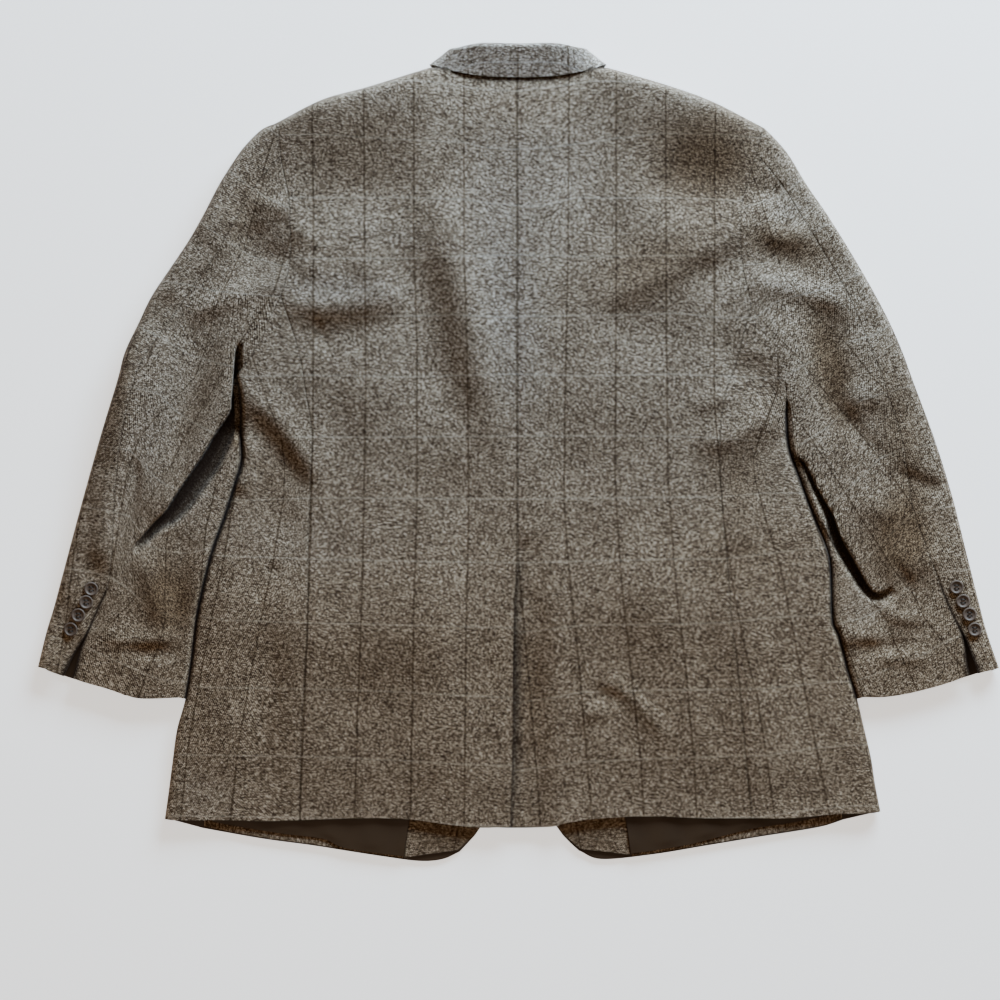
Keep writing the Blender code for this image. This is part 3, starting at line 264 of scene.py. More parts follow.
# Folds of the upper layer. Two or three points along the ridge and half the width are pixels read off
# the photo. The height is in millimetres, judged one by one, and below 0 for a hollow
FOLD_READINGS = [
    ([(285, 118), (360, 92), (440, 76)], 52, 14), ([(750, 118), (680, 92), (600, 76)], 52, 15),
    ([(330, 235), (430, 232)], 38, 5), ([(640, 232), (740, 215)], 32, 5),
    ([(320, 205), (415, 200)], 40, -7), ([(655, 195), (745, 190)], 36, -8),
    ([(440, 205), (462, 300), (490, 430)], 22, 7), ([(415, 240), (425, 330), (450, 415)], 34, -6),
    ([(545, 150), (540, 260), (528, 400)], 34, 4), ([(225, 600), (330, 625), (495, 610)], 52, 6),
    ([(560, 600), (700, 600), (830, 610)], 52, 6), ([(200, 800), (330, 815), (480, 815)], 40, -3),
    ([(570, 800), (700, 810), (860, 795)], 40, -3), ([(470, 120), (590, 118)], 32, 4),
    ([(600, 302), (655, 278), (705, 250)], 15, 6), ([(692, 256), (725, 235), (755, 206)], 15, 6),
    ([(700, 275), (750, 262)], 16, -3.5), ([(610, 250), (660, 225)], 24, -3),
    ([(757, 188), (785, 196)], 12, -5), ([(762, 228), (790, 238), (812, 228)], 12, 4),
    ([(750, 283), (800, 290), (852, 310)], 12, 6), ([(752, 255), (830, 268)], 18, -4),
    ([(823, 312), (824, 365), (836, 425)], 19, -8), ([(872, 340), (880, 400)], 22, 4),
    ([(846, 414), (862, 436), (882, 456)], 7, -5), ([(845, 400), (880, 395)], 14, 4),
    ([(888, 566), (915, 562), (945, 556)], 18, 5), ([(880, 606), (902, 618), (926, 618)], 8, 5.5),
    ([(882, 657), (925, 656)], 9, 3.5), ([(893, 560), (914, 592)], 6, -4),
    ([(845, 640), (882, 634)], 14, 4), ([(850, 648), (910, 648)], 8, -3.5),
    ([(790, 330), (800, 400)], 22, 4), ([(905, 430), (925, 480)], 16, 3), ([(898, 474), (945, 492)], 9, -4),
    ([(860, 500), (900, 520)], 16, 3), ([(772, 411), (740, 432), (708, 446)], 11, 6.5),
    ([(698, 409), (727, 394)], 9, 4), ([(780, 438), (752, 460), (726, 500)], 12, -5),
    ([(760, 500), (735, 545)], 16, 3), ([(757, 360), (765, 400)], 14, -3),
    ([(715, 330), (745, 385)], 14, -3), ([(700, 450), (712, 530)], 26, -3),
    ([(243, 390), (285, 428), (313, 470)], 12, 7), ([(243, 420), (272, 448), (306, 492)], 12, -5),
    ([(238, 486), (258, 478)], 12, 4), ([(314, 322), (337, 362)], 6, -3),
    ([(290, 303), (345, 306), (392, 300)], 15, 6), ([(290, 335), (385, 330)], 20, -4),
    ([(352, 262), (402, 300)], 16, 4), ([(265, 470), (285, 540)], 22, -3),
    ([(330, 400), (360, 470)], 24, -3), ([(300, 262), (345, 285)], 12, 3),
    ([(284, 279), (225, 301), (190, 314)], 11, 8), ([(292, 255), (240, 283)], 15, -6),
    ([(250, 203), (272, 205), (294, 214)], 10, 5), ([(292, 225), (328, 250)], 9, 5),
    ([(250, 228), (258, 262)], 20, -6), ([(205, 240), (235, 215)], 20, 3),
    ([(131, 345), (124, 405), (110, 480)], 14, 7), ([(108, 480), (100, 560)], 14, 5),
    ([(160, 352), (150, 420), (145, 500)], 28, 5), ([(178, 312), (204, 270)], 8, -4),
    ([(205, 330), (190, 400), (160, 480)], 26, -5), ([(228, 345), (205, 420), (165, 500)], 18, 4),
    ([(133, 460), (136, 482), (129, 512)], 6, -4), ([(165, 205), (200, 240)], 18, -3),
    ([(170, 300), (150, 330)], 14, -3), ([(145, 558), (162, 620)], 13, 4),
    ([(186, 545), (178, 600), (176, 640)], 11, -4.5), ([(108, 638), (140, 641), (175, 636)], 9, 5),
    ([(130, 652), (176, 652)], 9, -3), ([(62, 600), (70, 660)], 14, -3), ([(95, 560), (90, 620)], 12, -3),
    ([(268, 566), (274, 576)], 7, -3), ([(261, 579), (261, 622)], 5, -2),
    ([(582, 716), (604, 711)], 7, 2.5), ([(610, 682), (640, 706), (665, 738)], 8, 2.5),
    ([(594, 692), (622, 700)], 7, -2.5), ([(355, 560), (345, 740)], 28, -2.5),
    ([(430, 520), (440, 760)], 30, 2.5), ([(575, 470), (590, 640)], 28, -2.5),
    ([(650, 560), (690, 740)], 30, 3), ([(235, 600), (215, 760)], 26, 3),
    ([(790, 560), (815, 740)], 24, -3), ([(735, 620), (760, 780)], 22, 2.5),
    ([(270, 640), (262, 780)], 16, -2.5), ([(480, 560), (476, 700)], 22, -2),
    ([(395, 480), (470, 500)], 34, -3), ([(560, 470), (650, 452)], 32, -3),
    ([(610, 330), (690, 345)], 30, -4),
]
FOLD_STEEPEST = 0.30  # most that a fold is high, as a share of half its width
FOLD_END = 0.60  # share of a fold over which each end fades

# Cuff buttons: x, y
CUFF_BUTTONS = {
    "left": [(-454, -144), (-459.5, -158), (-467.5, -172), (-475.5, -187)],
    "right": [(466, -142), (473, -157), (480, -171), (485.5, -187)],
}

# Collar band from the middle of the back round to the left front: where its neck seam runs (x, y, z),
# which way the stand goes (x, y, z), which way its outside faces (x, y, z), stand height, fall length,
# distance between the two
COLLAR = [
    (0, 407.2, 26, 0, 0.96, 0.28, 0, -0.28, 0.96, 28, 32, 5.5),
    (-40, 408.8, 26, 0.04, 0.96, 0.28, 0, -0.28, 0.96, 27, 31, 5.5),
    (-70, 410.0, 26, 0.30, 0.95, 0.15, -0.2, -0.1, 0.96, 21, 22, 5.0),
    (-90.5, 409.8, 15, 0.80, 0.60, 0, -0.60, 0.80, 0.1, 24, 22, 4.0),
    (-86, 409.0, 6.7, 0.6, 0.8, 0, -0.3, 0.2, -0.93, 22, 24, 2.6),
    (-80, 394.0, 3.7, 0.7, 0.7, 0, 0, 0, -1, 24, 30, 2.4),
    (-75, 374.0, 3.7, 0.85, 0.5, 0, 0, 0, -1, 24, 32, 2.4),
]

COLLAR_FINE = 120  # cells along the band
STAND_CELLS = 6
TURN_CELLS = 12
FALL_CELLS = 12
COLLAR_BAR = 0.012  # in metres, shifts the light bars across the band

# The deep fold at each elbow, from the armhole down: x, y, width of its gap, how much of it is open
DEEP_FOLDS = {
    "left": [(-296, 118, 3, 0.0), (-302, 106, 5, 0.7), (-305, 81, 8, 1.0), (-307, 57, 11, 1.0),
             (-309, 44, 14, 1.0), (-325, 20, 19, 1.0), (-338, -2, 21, 1.0), (-356, -28, 21, 1.0),
             (-368, -46, 20, 1.0), (-377, -60, 16, 1.0), (-389, -72, 11, 1.0), (-403, -89, 8, 0.8),
             (-412, -103, 6, 0.0)],
    "right": [(284, 75, 3, 0.0), (286, 57, 4, 0.6), (289, 5, 4, 0.7), (305, -7, 4, 0.8),
              (321, -37, 5, 0.9), (337, -64, 9, 1.0), (346, -88, 12, 1.0), (360, -113, 12, 1.0),
              (374, -138, 10, 1.0), (384, -147, 8, 0.8), (399, -141, 5, 0.0)],
}
FOLD_FLOOR = 5.0  # height of the gap's floor
FOLD_LIP = 3.0  # how far before the edge its drop starts, and how far beyond it ends
FOLD_FOOT = 3.0
FOLD_RISE = 9.0  # over which the cloth comes up again at the gap's far side
FOLD_OVERHANG = 4.5  # how far the lip is moved out over the gap
FOLD_LIP_WIDTH = 4.0
FOLD_BLACK = 0.5  # share of the gap, from its edge, where its painted shade is darkest
FOLD_BLACK_EASE = 0.3  # share of the gap over which that fades
FOLD_DIM = 0.85  # how dark the painted shade on the rest of its floor is

# The painted shadow below the collar starts at these y, given at these x
COLLAR_SHADOW = ([-98, -90, -80, -70, -56, -30, 0, 30, 56, 70, 80, 88, 96],
                 [409.5, 408, 405.8, 404, 400.5, 397, 395.5, 397, 400.5, 403.5, 405.8, 408, 409.5])
COLLAR_SHADE = 0.85
COLLAR_SHADE_EASE = 4.0

# Painted shade in the seams: they are drawn in a darker tone
SEAM_SHADE = 0.55
SEAM_SHADE_REACH = 0.9

# Pieces whose light bars run on from the piece beside them
BARS_OF = {
    "side_left": "back_left", "side_right": "back_right",
    "under_sleeve_left": "top_sleeve_left", "under_sleeve_right": "top_sleeve_right",
}

# The back's vent: how much deeper the under lap lies, over which lengths it goes down and comes up, and
# its lowest height
VENT_DEPTH = 7.5
VENT_DEEPEN = 90.0
VENT_RISE = 36.0
VENT_FLOOR = 7.6
VENT_LOWEST_SHARE = 0.6  # share of the lap's drop that it keeps where it lies at its lowest

# Painted shade on the under lap: a thin line beside the edge, and a bell whose darkness is given along y
VENT_SHADE_HEAD = 6.0
VENT_SHADE_EASE = 30.0
VENT_LINE = 0.85
VENT_LINE_REACH = 1.6
VENT_SHADE_REACH = 9.0
VENT_SHADE = ([-400, -370, -330, -290, -250, -200, -160, -120, -105],
              [0.15, 0.25, 0.45, 0.50, 0.72, 0.68, 0.42, 0.20, 0.0])

# The crease between each sleeve and the body, and the painted shade in it
CREASE_LAP = 0.3  # how far the sleeve's edge goes into the body's
CREASE_HEAD = 6.0  # how far above the body's edge it starts to close
CREASE_CLOSE = 8.0
CREASE_SHADE = 0.9
CREASE_START = 4.0  # how far round the roll the painted shade starts
CREASE_REACH = 3.5
CREASE_CUFF_EASE = 4.0

# Sleeves: powers that shape how their lines spread and fade
SLEEVE_WAY = (0.286, -0.958)  # the run of the right sleeve, from shoulder to cuff
ARMHOLE_FADE = 1.5  # of the armhole's curve down the sleeve
UNDERARM_FADE = 24.0
INNER_SPREAD = 1.25  # of the inner edge's rows, closer at the underarm
SEAM_END_PULL = 8  # of a seam's last part to the cuff
SEAM_START_PULL = 4  # of its first part to the armhole
CUFF_BELOW = 0.8  # share of the cuff that the under side's outer part takes

# The slit at each cuff: where it starts, as a share of the sleeve, and how wide it opens at the cuff
# Painted shade in the slit: where it starts, how fast it comes in, how far it reaches and how much wider at
# the cuff
SLIT_START = 0.81
SLIT_START_EASE = 0.03
SLIT_REACH = 1.7
SLIT_WIDEN = 3.0
WEDGE_START = 0.84
WEDGE_WIDTH = 9.0

SHARP_ANGLE = math.radians(62.0)  # edges that turn more than this are not shaded smooth

# Lapels and what shows inside the fronts: cells along and across
LAPEL_CELLS = (44, 17)
FACING_CELLS = (27, 29)
LINING_CELLS = (89, 25)
HEM_CELLS = (89, 9)
HEM_DEPTH = 34.0
LINING_FOLD = 7.0  # small folds of the lining: their size, lean and height
LINING_LEAN = 0.02
LINING_EASE = 1.1
LINING_EASE_END = 8.0  # how fast they fade to the hem

# Tweed: the weave in millimetres, the scale of each noise, and how much each part changes the tone
YARN_ACROSS = 0.95
YARN_DOWN = 0.95
LINE_WAVER = 1.2
TWILL_PITCH = 2.1  # across the cloth, from one twill line to the next
TWILL_STEEP = 0.75  # how far a twill line moves across for each step down
TWILL_WAVER = 0.4
DASH_DOWN = 1.15
WAVER_SCALE = 90.0
SLUB_SCALE = 780.0
FINE_SCALE = 1500.0
PATCH_SCALE = 26.0
FLECK = 0.56
DASH = 0.46
SLUB = 0.22
FINE = 0.40
TWILL = 0.34
PATCH = 0.20
STRIPE_WIDTH = 1.7
BAR_WIDTH = 1.7
LINE_EDGE = (0.3, 0.8)  # where a line of the check starts and ends to fade, by its width
BREAK_FLECK = 0.7  # how the flecks and slubs break up a line
BREAK_SLUB = 0.6
BREAK_EDGE = (0.25, 0.75)
STRIPE_UNBROKEN = 0.55  # share of a line's strength that they leave alone
BAR_UNBROKEN = 0.35
YARN_COLOURS = [
    (0.0, (0.014, 0.0075, 0.004)),
    (0.30, (0.066, 0.042, 0.025)),
    (0.52, (0.150, 0.109, 0.073)),
    (0.76, (0.330, 0.265, 0.196)),
    (1.0, (0.640, 0.555, 0.450)),
]
STRIPE_TINT = (0.44, 0.39, 0.34, 1.0)
BAR_TINT = (0.48, 0.425, 0.345, 1.0)
BAR_SHARE = 0.31
# Painted shade: a warmer, darker tint over the lower part of the coat
LOWER_SHADE_TINT = (0.985, 0.90, 0.80, 1.0)
LOWER_SHADE_EDGE = (-0.26, 0.14)  # the y, in metres, between which the lower part's painted shade ends
# Painted shade in folds, creases, seams, the slit and below the collar: its colour, and how far the shade
# value mixes to it
PAINTED_SHADE_COLOUR = (0.013, 0.006, 0.003, 1.0)
DEEP_SHADE = 0.96
RELIEF = {"twill": 0.30, "fleck": 0.35, "slub": 0.6, "stripe": -0.12, "bar": 0.12}
BUMP_STRENGTH = 0.30
BUMP_DISTANCE = 0.0006
SHEEN = 0.03
SHEEN_TINT = (0.85, 0.92, 1.0, 1.0)

# The other finishes: darkest and lightest colour
SATIN_COLOURS = ((0.014, 0.006, 0.002, 1.0), (0.056, 0.028, 0.011, 1.0))
HORN_COLOURS = ((0.050, 0.033, 0.024, 1.0), (0.170, 0.120, 0.090, 1.0))
# painted shade inside a button's holes
HOLE_SHADE_COLOUR = (0.006, 0.004, 0.003, 1.0)
THREAD_COLOURS = ((0.020, 0.013, 0.009, 1.0), (0.055, 0.038, 0.027, 1.0))
PAPER_COLOUR = (0.92, 0.92, 0.92, 1.0)

# Broad soft patches of painted light and shade on the cloth: x, y, half width, half height, lean in
# degrees, and its change of tone: below 0 painted shade, browner and darker, above 0 painted light, greyer
# and lighter
LIGHT_AND_SHADE_PATCHES = [
    (-173, 315, 72, 50, 0, -0.45), (200, 312, 66, 56, 0, -1.05), (-99, 163, 36, 75, 12, -0.12),
    (0, 290, 62, 110, 0, 0.50), (-8, 145, 32, 100, 8, 0.95), (60, 290, 40, 60, -15, 0.15),
    (-189, 174, 62, 16, 0, 0.85), (-130, 232, 60, 16, -14, 0.30), (140, 198, 70, 36, 20, -0.75),
    (-288, 258, 24, 50, -20, -0.60), (-425, 60, 13, 95, -12, -0.60), (-390, 15, 24, 62, -14, 0.35),
    (-335, 60, 14, 70, -25, -0.45), (-370, -152, 28, 42, 0, -1.25), (-345, -70, 14, 60, -15, 0.30),
    (-260, -15, 30, 48, 10, -0.40), (-210, -95, 110, 32, 0, 0.30), (245, -108, 95, 45, 0, -0.45),
    (285, 222, 50, 20, -14, -0.85), (332, 92, 24, 74, 14, -1.10), (406, -92, 32, 44, 0, -1.25),
    (408, 20, 26, 90, 12, -0.70), (363, 62, 15, 15, 0, 0.60), (368, -165, 20, 24, 0, 0.55),
    (300, 175, 46, 12, -12, 0.45), (285, 255, 18, 14, 0, 0.40), (238, -25, 28, 45, -10, -0.50),
    (-180, -250, 130, 95, 0, -0.15), (200, -260, 120, 95, 0, -0.15), (-335, -355, 34, 28, 0, 0.40),
    (355, -350, 30, 30, 0, 0.05), (250, 90, 16, 50, 15, -0.25), (300, -8, 8, 34, 24, -0.70),
    (14, -255, 16, 80, 0, -0.60),
    (5, 368, 52, 28, 0, -0.45), (-299, 19, 6, 12, 0, -1.60), (-88, -413, 44, 12, 0, -0.50),
    (88, -413, 44, 12, 0, -0.50), (-433, -230, 40, 30, 0, -0.25), (427, -230, 40, 30, 0, -0.15),
    (-165, 385, 60, 16, -18, 0.35), (210, 385, 60, 16, 18, 0.50),
]
# How painted shade browns and darkens the cloth and painted light greys and lightens it, how much of each,
# and the painted light added on the collar
SHADE_BROWNER = (0.50, 0.40, 0.29, 1.0)
LIGHT_GREYER = (1.52, 1.71, 2.00, 1.0)
SHADE_BROWN_SHARE = 0.82
LIGHT_GREY_SHARE = 0.42
COLLAR_PAINTED_LIGHT = 1.9

# Studio
FLOOR_SIZE = 12.0
FLOOR_Z = -0.001
FLOOR_GLOW = 1.1
PAPER_GLOW = (1.0, 0.97, 0.93, 1.0)
FILL_COLOUR = (1.0, 0.74, 0.50)
FILL_STRENGTH = 0.18
LIGHTS = [
    ("key", (1.05, 2.2, 0.95), (0.0, 0.0, 0.0), (1.9, 0.9), 250.0, (0.60, 0.80, 1.0)),
    ("fill", (-0.6, -1.0, 2.2), (0.0, -0.1, 0.0), (1.8, 1.4), 5.0, (1.0, 0.72, 0.48)),
]
CAMERA_X = -0.0191
CAMERA_Y = -0.0494
CAMERA_HEIGHT = 6.0
CAMERA_SENSOR = 36.0
CAMERA_LENS = 202.7

# How the check lies on each piece, as read off the photo: the number of each dark stripe, which runs
# down the cloth, and the pixels that it goes through
STRIPES = {
    "back_left": {
        -4: [(312, 60), (314, 250), (313, 430), (311, 520), (307, 640), (299, 830)],
        -3: [(364, 60), (365, 250), (366, 380), (362, 600), (358, 700), (354, 830)],
        -2: [(414, 60), (414, 250), (417, 340), (417, 500), (414, 600), (410, 830)],
        -1: [(464, 60), (464, 250), (467, 340), (469, 500), (466, 640), (464, 830)],
        0: [(517, 60), (517, 550), (514, 650), (512, 830)],
    },
    "back_right": {
        0: [(517, 60), (517, 540), (521, 590), (526, 650), (533, 728), (538, 787), (541, 830)],
        1: [(569, 60), (568, 250), (565, 400), (564, 500), (569, 570), (579, 665), (587, 760), (593, 830)],
        2: [(616, 60), (616, 300), (615, 480), (621, 580), (631, 670), (641, 760), (645, 830)],
        3: [(665, 60), (666, 300), (668, 480), (676, 590), (686, 670), (694, 760), (698, 830)],
        4: [(715, 60), (714, 250), (714, 400), (724, 520), (735, 640), (745, 740), (753, 830)],
    },
    "side_left": {
        -5: [(250, 350), (264, 390), (281, 436), (285, 463), (284, 496), (272, 569), (261, 620), (252, 667),
             (246, 700), (237, 752), (229, 830)],
        -4: [(307, 393), (313, 430), (311, 520), (307, 640), (299, 830)],
    },
    "side_right": {
        4: [(716, 430), (724, 520), (735, 600), (745, 650), (757, 695), (767, 760), (777, 830)],
        5: [(778, 390), (760, 435), (753, 460), (755, 480), (767, 525), (780, 565), (787, 600), (795, 640),
            (803, 680), (817, 750), (833, 830)],
    },
    "top_sleeve_left": {
        0: [(215, 160), (150, 290), (112, 400), (80, 515), (73, 560), (67, 610), (58, 665)],
    },
    "under_sleeve_left": {
        -1: [(245, 245), (215, 310), (205, 352), (195, 378), (172, 402), (156, 418), (141, 436), (128, 470),
             (120, 520), (112, 570), (98, 600), (60, 660)],
        0: [(275, 290), (245, 335), (228, 362), (206, 403), (183, 441), (173, 463), (146, 506), (135, 523),
            (131, 550), (136, 597), (121, 612), (105, 629), (97, 638), (70, 675)],
        1: [(330, 330), (230, 400), (200, 450), (178, 488), (171, 518), (166, 546), (165, 579), (165, 620),
            (158, 650), (146, 675), (138, 700)],
        2: [(380, 360), (250, 430), (217, 473), (213, 499), (206, 526), (203, 556), (199, 600), (193, 650),
            (188, 700)],
    },
    "top_sleeve_right": {
        0: [(775, 120), (850, 230), (900, 340), (925, 410), (948, 490), (968, 570), (985, 630), (1000, 680)],
    },
    "under_sleeve_right": {
        0: [(735, 290), (770, 330), (800, 360), (825, 392), (848, 418), (869, 445), (889, 472), (914, 508),
            (940, 545), (975, 600), (1005, 650)],
        1: [(740, 350), (775, 390), (812, 440), (840, 485), (865, 525), (880, 548), (897, 575), (912, 592),
            (925, 619), (945, 645), (963, 669), (975, 690)],
        2: [(745, 420), (790, 480), (825, 530), (850, 570), (870, 598), (887, 620), (896, 645), (906, 665),
            (920, 695)],
        3: [(750, 480), (790, 540), (820, 585), (838, 625), (852, 660), (865, 700)],
    },
}

# The same for the light bars across it
BARS = {
    "back_left": {
        0: [(260, 98), (315, 90), (380, 82), (414, 82), (451, 85), (480, 90), (516, 92)],
        1: [(260, 136), (315, 135), (364, 138), (414, 141), (464, 143), (484, 148), (516, 150)],
        2: [(225, 199), (315, 198), (405, 198), (464, 200), (490, 204), (516, 206)],
        3: [(225, 260), (315, 259), (405, 259), (450, 257), (516, 255)],
        4: [(225, 316), (360, 317), (450, 315), (516, 318)],
        5: [(225, 377), (315, 375), (405, 377), (516, 374)],
        6: [(225, 437), (405, 437), (516, 436)],
        7: [(225, 501), (315, 498), (516, 499)],
        8: [(180, 550), (225, 556), (315, 559), (405, 561), (516, 563)],
        9: [(180, 614), (225, 620), (315, 623), (405, 625), (516, 628)],
        10: [(180, 687), (315, 689), (405, 692), (450, 695), (516, 698)],
        11: [(180, 755), (315, 757), (405, 761), (450, 764), (516, 766)],
    },
    "back_right": {
        0: [(516, 92), (541, 89), (560, 87), (590, 82), (650, 84), (720, 92)],
        1: [(516, 150), (541, 149), (569, 146), (616, 139), (665, 134), (720, 135), (765, 139)],
        2: [(516, 206), (541, 207), (576, 198), (630, 199), (675, 198), (720, 200), (765, 203)],
        3: [(516, 255), (585, 257), (675, 256), (720, 258), (745, 262)],
        4: [(516, 317), (630, 315), (675, 313), (720, 318)],
        5: [(516, 374), (585, 376), (675, 374), (765, 378)],
        6: [(516, 436), (675, 436), (765, 441)],
        7: [(516, 499), (675, 497), (720, 497), (765, 493)],
        8: [(516, 563), (585, 561), (675, 559), (720, 559), (765, 554), (820, 547)],
        9: [(516, 633), (545, 630), (585, 625), (675, 624), (720, 623), (765, 618), (820, 615)],
        10: [(516, 703), (540, 700), (585, 692), (675, 690), (765, 689), (830, 682)],
        11: [(516, 771), (540, 768), (585, 762), (675, 758), (765, 756), (810, 749), (855, 745)],
    },
    "top_sleeve_left": {
        0: [(222, 165), (246, 184), (265, 197), (286, 207)],
        1: [(190, 214), (208, 228), (228, 242), (250, 256), (268, 262)],
        2: [(160, 281), (188, 285), (215, 291), (245, 294), (280, 296)],
        3: [(138, 326), (160, 337), (190, 355), (207, 360), (225, 365), (250, 375)],
        4: [(115, 385), (135, 388), (158, 393), (175, 410), (190, 421), (212, 432)],
        5: [(98, 445), (130, 450), (142, 462), (155, 477), (168, 486), (182, 488)],
        6: [(85, 507), (110, 511), (130, 516), (148, 546), (168, 552), (190, 553), (205, 549), (225, 548)],
        7: [(66, 568), (95, 573), (110, 577), (130, 590), (150, 610), (170, 615), (188, 618)],
        8: [(45, 635), (80, 645), (120, 663), (160, 680), (190, 682)],
    },
    "top_sleeve_right": {
        0: [(742, 208), (760, 203), (780, 196), (805, 178)],
        1: [(745, 265), (765, 264), (780, 254), (800, 241), (820, 228), (840, 220)],
        2: [(755, 318), (775, 302), (800, 295), (830, 288), (860, 272), (870, 266)],
        3: [(775, 378), (790, 373), (808, 363), (830, 352), (850, 341), (870, 337), (890, 325)],
        4: [(790, 450), (800, 445), (828, 427), (845, 410), (860, 401), (880, 394), (910, 386)],
        5: [(825, 510), (850, 487), (868, 470), (880, 458), (900, 450), (935, 444)],
        6: [(850, 575), (862, 563), (880, 545), (900, 525), (915, 513), (935, 509), (958, 505)],
        7: [(845, 622), (862, 618), (880, 610), (905, 590), (935, 573), (972, 569)],
        8: [(855, 681), (875, 675), (900, 664), (925, 654), (945, 642), (960, 636), (990, 630)],
    },
}


def smooth_step(value):
    """0 below 0, 1 above 1 and a soft rise between them."""
    share = np.clip(value, 0.0, 1.0)
    return share * share * (3.0 - 2.0 * share)


def unit(vectors):
    """The same directions at length 1."""
    vectors = np.asarray(vectors, float)
    return vectors / np.linalg.norm(vectors, axis=-1, keepdims=True)


def smooth_line(points, fractions):
    """Points at the given fractions of the length of the Catmull-Rom curve through the given points."""
    points = np.asarray(points, float)
    ends = np.vstack([2 * points[0] - points[1], points, 2 * points[-1] - points[-2]])
    share = np.linspace(0.0, 1.0, LINE_FINE, endpoint=False)[None, :, None]
    a, b, c, d = (ends[k:len(ends) - 3 + k, None] for k in range(4))
    cubic = -a + 3 * b - 3 * c + d
    square = 2 * a - 5 * b + 4 * c - d
    runs = 0.5 * (2 * b + (c - a) * share + square * share**2 + cubic * share**3)
    fine = np.vstack([runs.reshape(-1, points.shape[1]), points[-1:]])
    steps = np.linalg.norm(np.diff(fine, axis=0), axis=1)
    length = np.concatenate([[0.0], np.cumsum(steps)])
    wanted = np.asarray(fractions) * length[-1]
    return np.stack([np.interp(wanted, length, fine[:, k]) for k in range(fine.shape[1])], axis=1)


def even(points, cells):
    """The smooth line through the points, in equal cells."""
    return smooth_line(points, np.linspace(0.0, 1.0, cells + 1))


def straight(points, shares):
    """Points on a broken line at shares of its number of parts, which all count the same."""
    points = np.asarray(points, float)
    at = np.asarray(shares) * (len(points) - 1)
    return np.stack([np.interp(at, np.arange(len(points)), points[:, k]) for k in range(2)], axis=1)


def joined(*lines):
    """Lines laid end to end, with each shared point kept once."""
    return np.vstack([lines[0]] + [line[1:] for line in lines[1:]])


def places(spans, cell, first=False, last=False):
    """Places 0 to the number of cells of a coarse line, closer together at a seam.

    spans holds each stretch's coarse cells and its length. A place is a coarse cell's number and the
    share of the way through it.
    """
    runs = []
    start = 0.0
    for number, (cells, length) in enumerate(spans):
        share = np.linspace(0.0, 1.0, max(1, round(length / cell)) + 1)
        close = np.array(SEAM_STEPS) / length
        if first and number == 0:
            share = np.union1d(share, close)
        if last and number == len(spans) - 1:
            share = np.union1d(share, 1.0 - close)
        runs.append(start + share * cells)
        start += cells
    return np.unique(np.round(np.concatenate(runs), 6))


def end_to_end(place, *stretches):
    """Points at the given places of lines laid end to end. Each stretch is its number of coarse cells,
    the function that turns shares into points, and the points of its line."""
    end = sum(stretch[0] for stretch in stretches)
    start = 0
    runs = []
    for cells, line, points in stretches:
        inside = (place >= start) & ((place < start + cells) | (start + cells == end))
        runs.append(line(points, (place[inside] - start) / cells))
        start += cells
    return np.vstack(runs)


def ruled(first, last, cells):
    """A grid of straight lines, each from a point of one line to the same point of another."""
    share = np.linspace(0.0, 1.0, cells + 1)[None, :, None]
    return first[:, None] + (last - first)[:, None] * share


def coons(top, bottom, first, last, across, down):
    """Fills four edges: a blend down, plus a blend across, less the blend of the corners."""
    u = np.asarray(across)[None, :, None]
    v = np.asarray(down)[:, None, None]
    blend_down = (1 - v) * top[None] + v * bottom[None]
    blend_over = (1 - u) * first[:, None] + u * last[:, None]
    corners = (1 - u) * (1 - v) * top[0] + u * (1 - v) * top[-1]
    corners = corners + (1 - u) * v * bottom[0] + u * v * bottom[-1]
    return blend_down + blend_over - corners


def sleeve_patch(armhole, cuff, hind, inner, across, down):
    """Fills a sleeve: straight lines across, plus the armhole's curve, which fades towards the cuff,
    fastest at the underarm, plus the cuff's curve, which grows towards it."""
    u = np.asarray(across)[None, :, None]
    v = np.asarray(down)[:, None, None]
    level = (1 - u) * hind[:, None] + u * inner[:, None]
    armhole_curve = armhole[None] - level[:1]
    cuff_curve = cuff[None] - level[-1:]
    fade = (1 - v) ** (ARMHOLE_FADE + UNDERARM_FADE * u**4)
    return level + armhole_curve * fade + cuff_curve * v**2


def fold_height(x, y, fold):
    """A ridge with a bell section along a bowed line, faded at both ends."""
    x0, y0, x1, y1, bow, half_width, height = fold
    length = math.hypot(x1 - x0, y1 - y0)
    along = ((x - x0) * (x1 - x0) + (y - y0) * (y1 - y0)) / length**2
    sideways = ((x - x0) * (y1 - y0) - (y - y0) * (x1 - x0)) / length
    inside = np.clip(along, 0.0, 1.0)
    beyond = (along - inside) * length
    sideways = sideways - bow * 4.0 * inside * (1.0 - inside)
    bell = np.exp(-(sideways**2 + beyond**2) / half_width**2)
    ends = smooth_step(along / FOLD_END + 0.5) * smooth_step((1.0 - along) / FOLD_END + 0.5)
    return height * bell * ends


def upper_height(plan, folds):
    """Height of the outside of the upper layer: the crown table, blended by distance, plus the folds."""
    x, y = plan[..., 0], plan[..., 1]
    weights = 0.0
    total = 0.0
    for row_x, row_y, row_height in CROWN_BOTH_SIDES:
        near = np.exp(-((x - row_x) ** 2 + (y - row_y) ** 2) / (2 * CROWN_SPREAD**2))
        weights = weights + near
        total = total + near * row_height
    height = total / weights
    for fold in folds:
        height = height + fold_height(x, y, fold)
    return LOWEST_UPPER + np.logaddexp(0.0, (height - LOWEST_UPPER) * LOWEST_EASE) / LOWEST_EASE


def from_photo(pixels):
    """Millimetres from pixels of the photo: the distance from the origin's pixel times the scale."""
    return (np.array(pixels, float) - (PHOTO_X, PHOTO_Y)) * (MM_PER_PIXEL, -MM_PER_PIXEL)


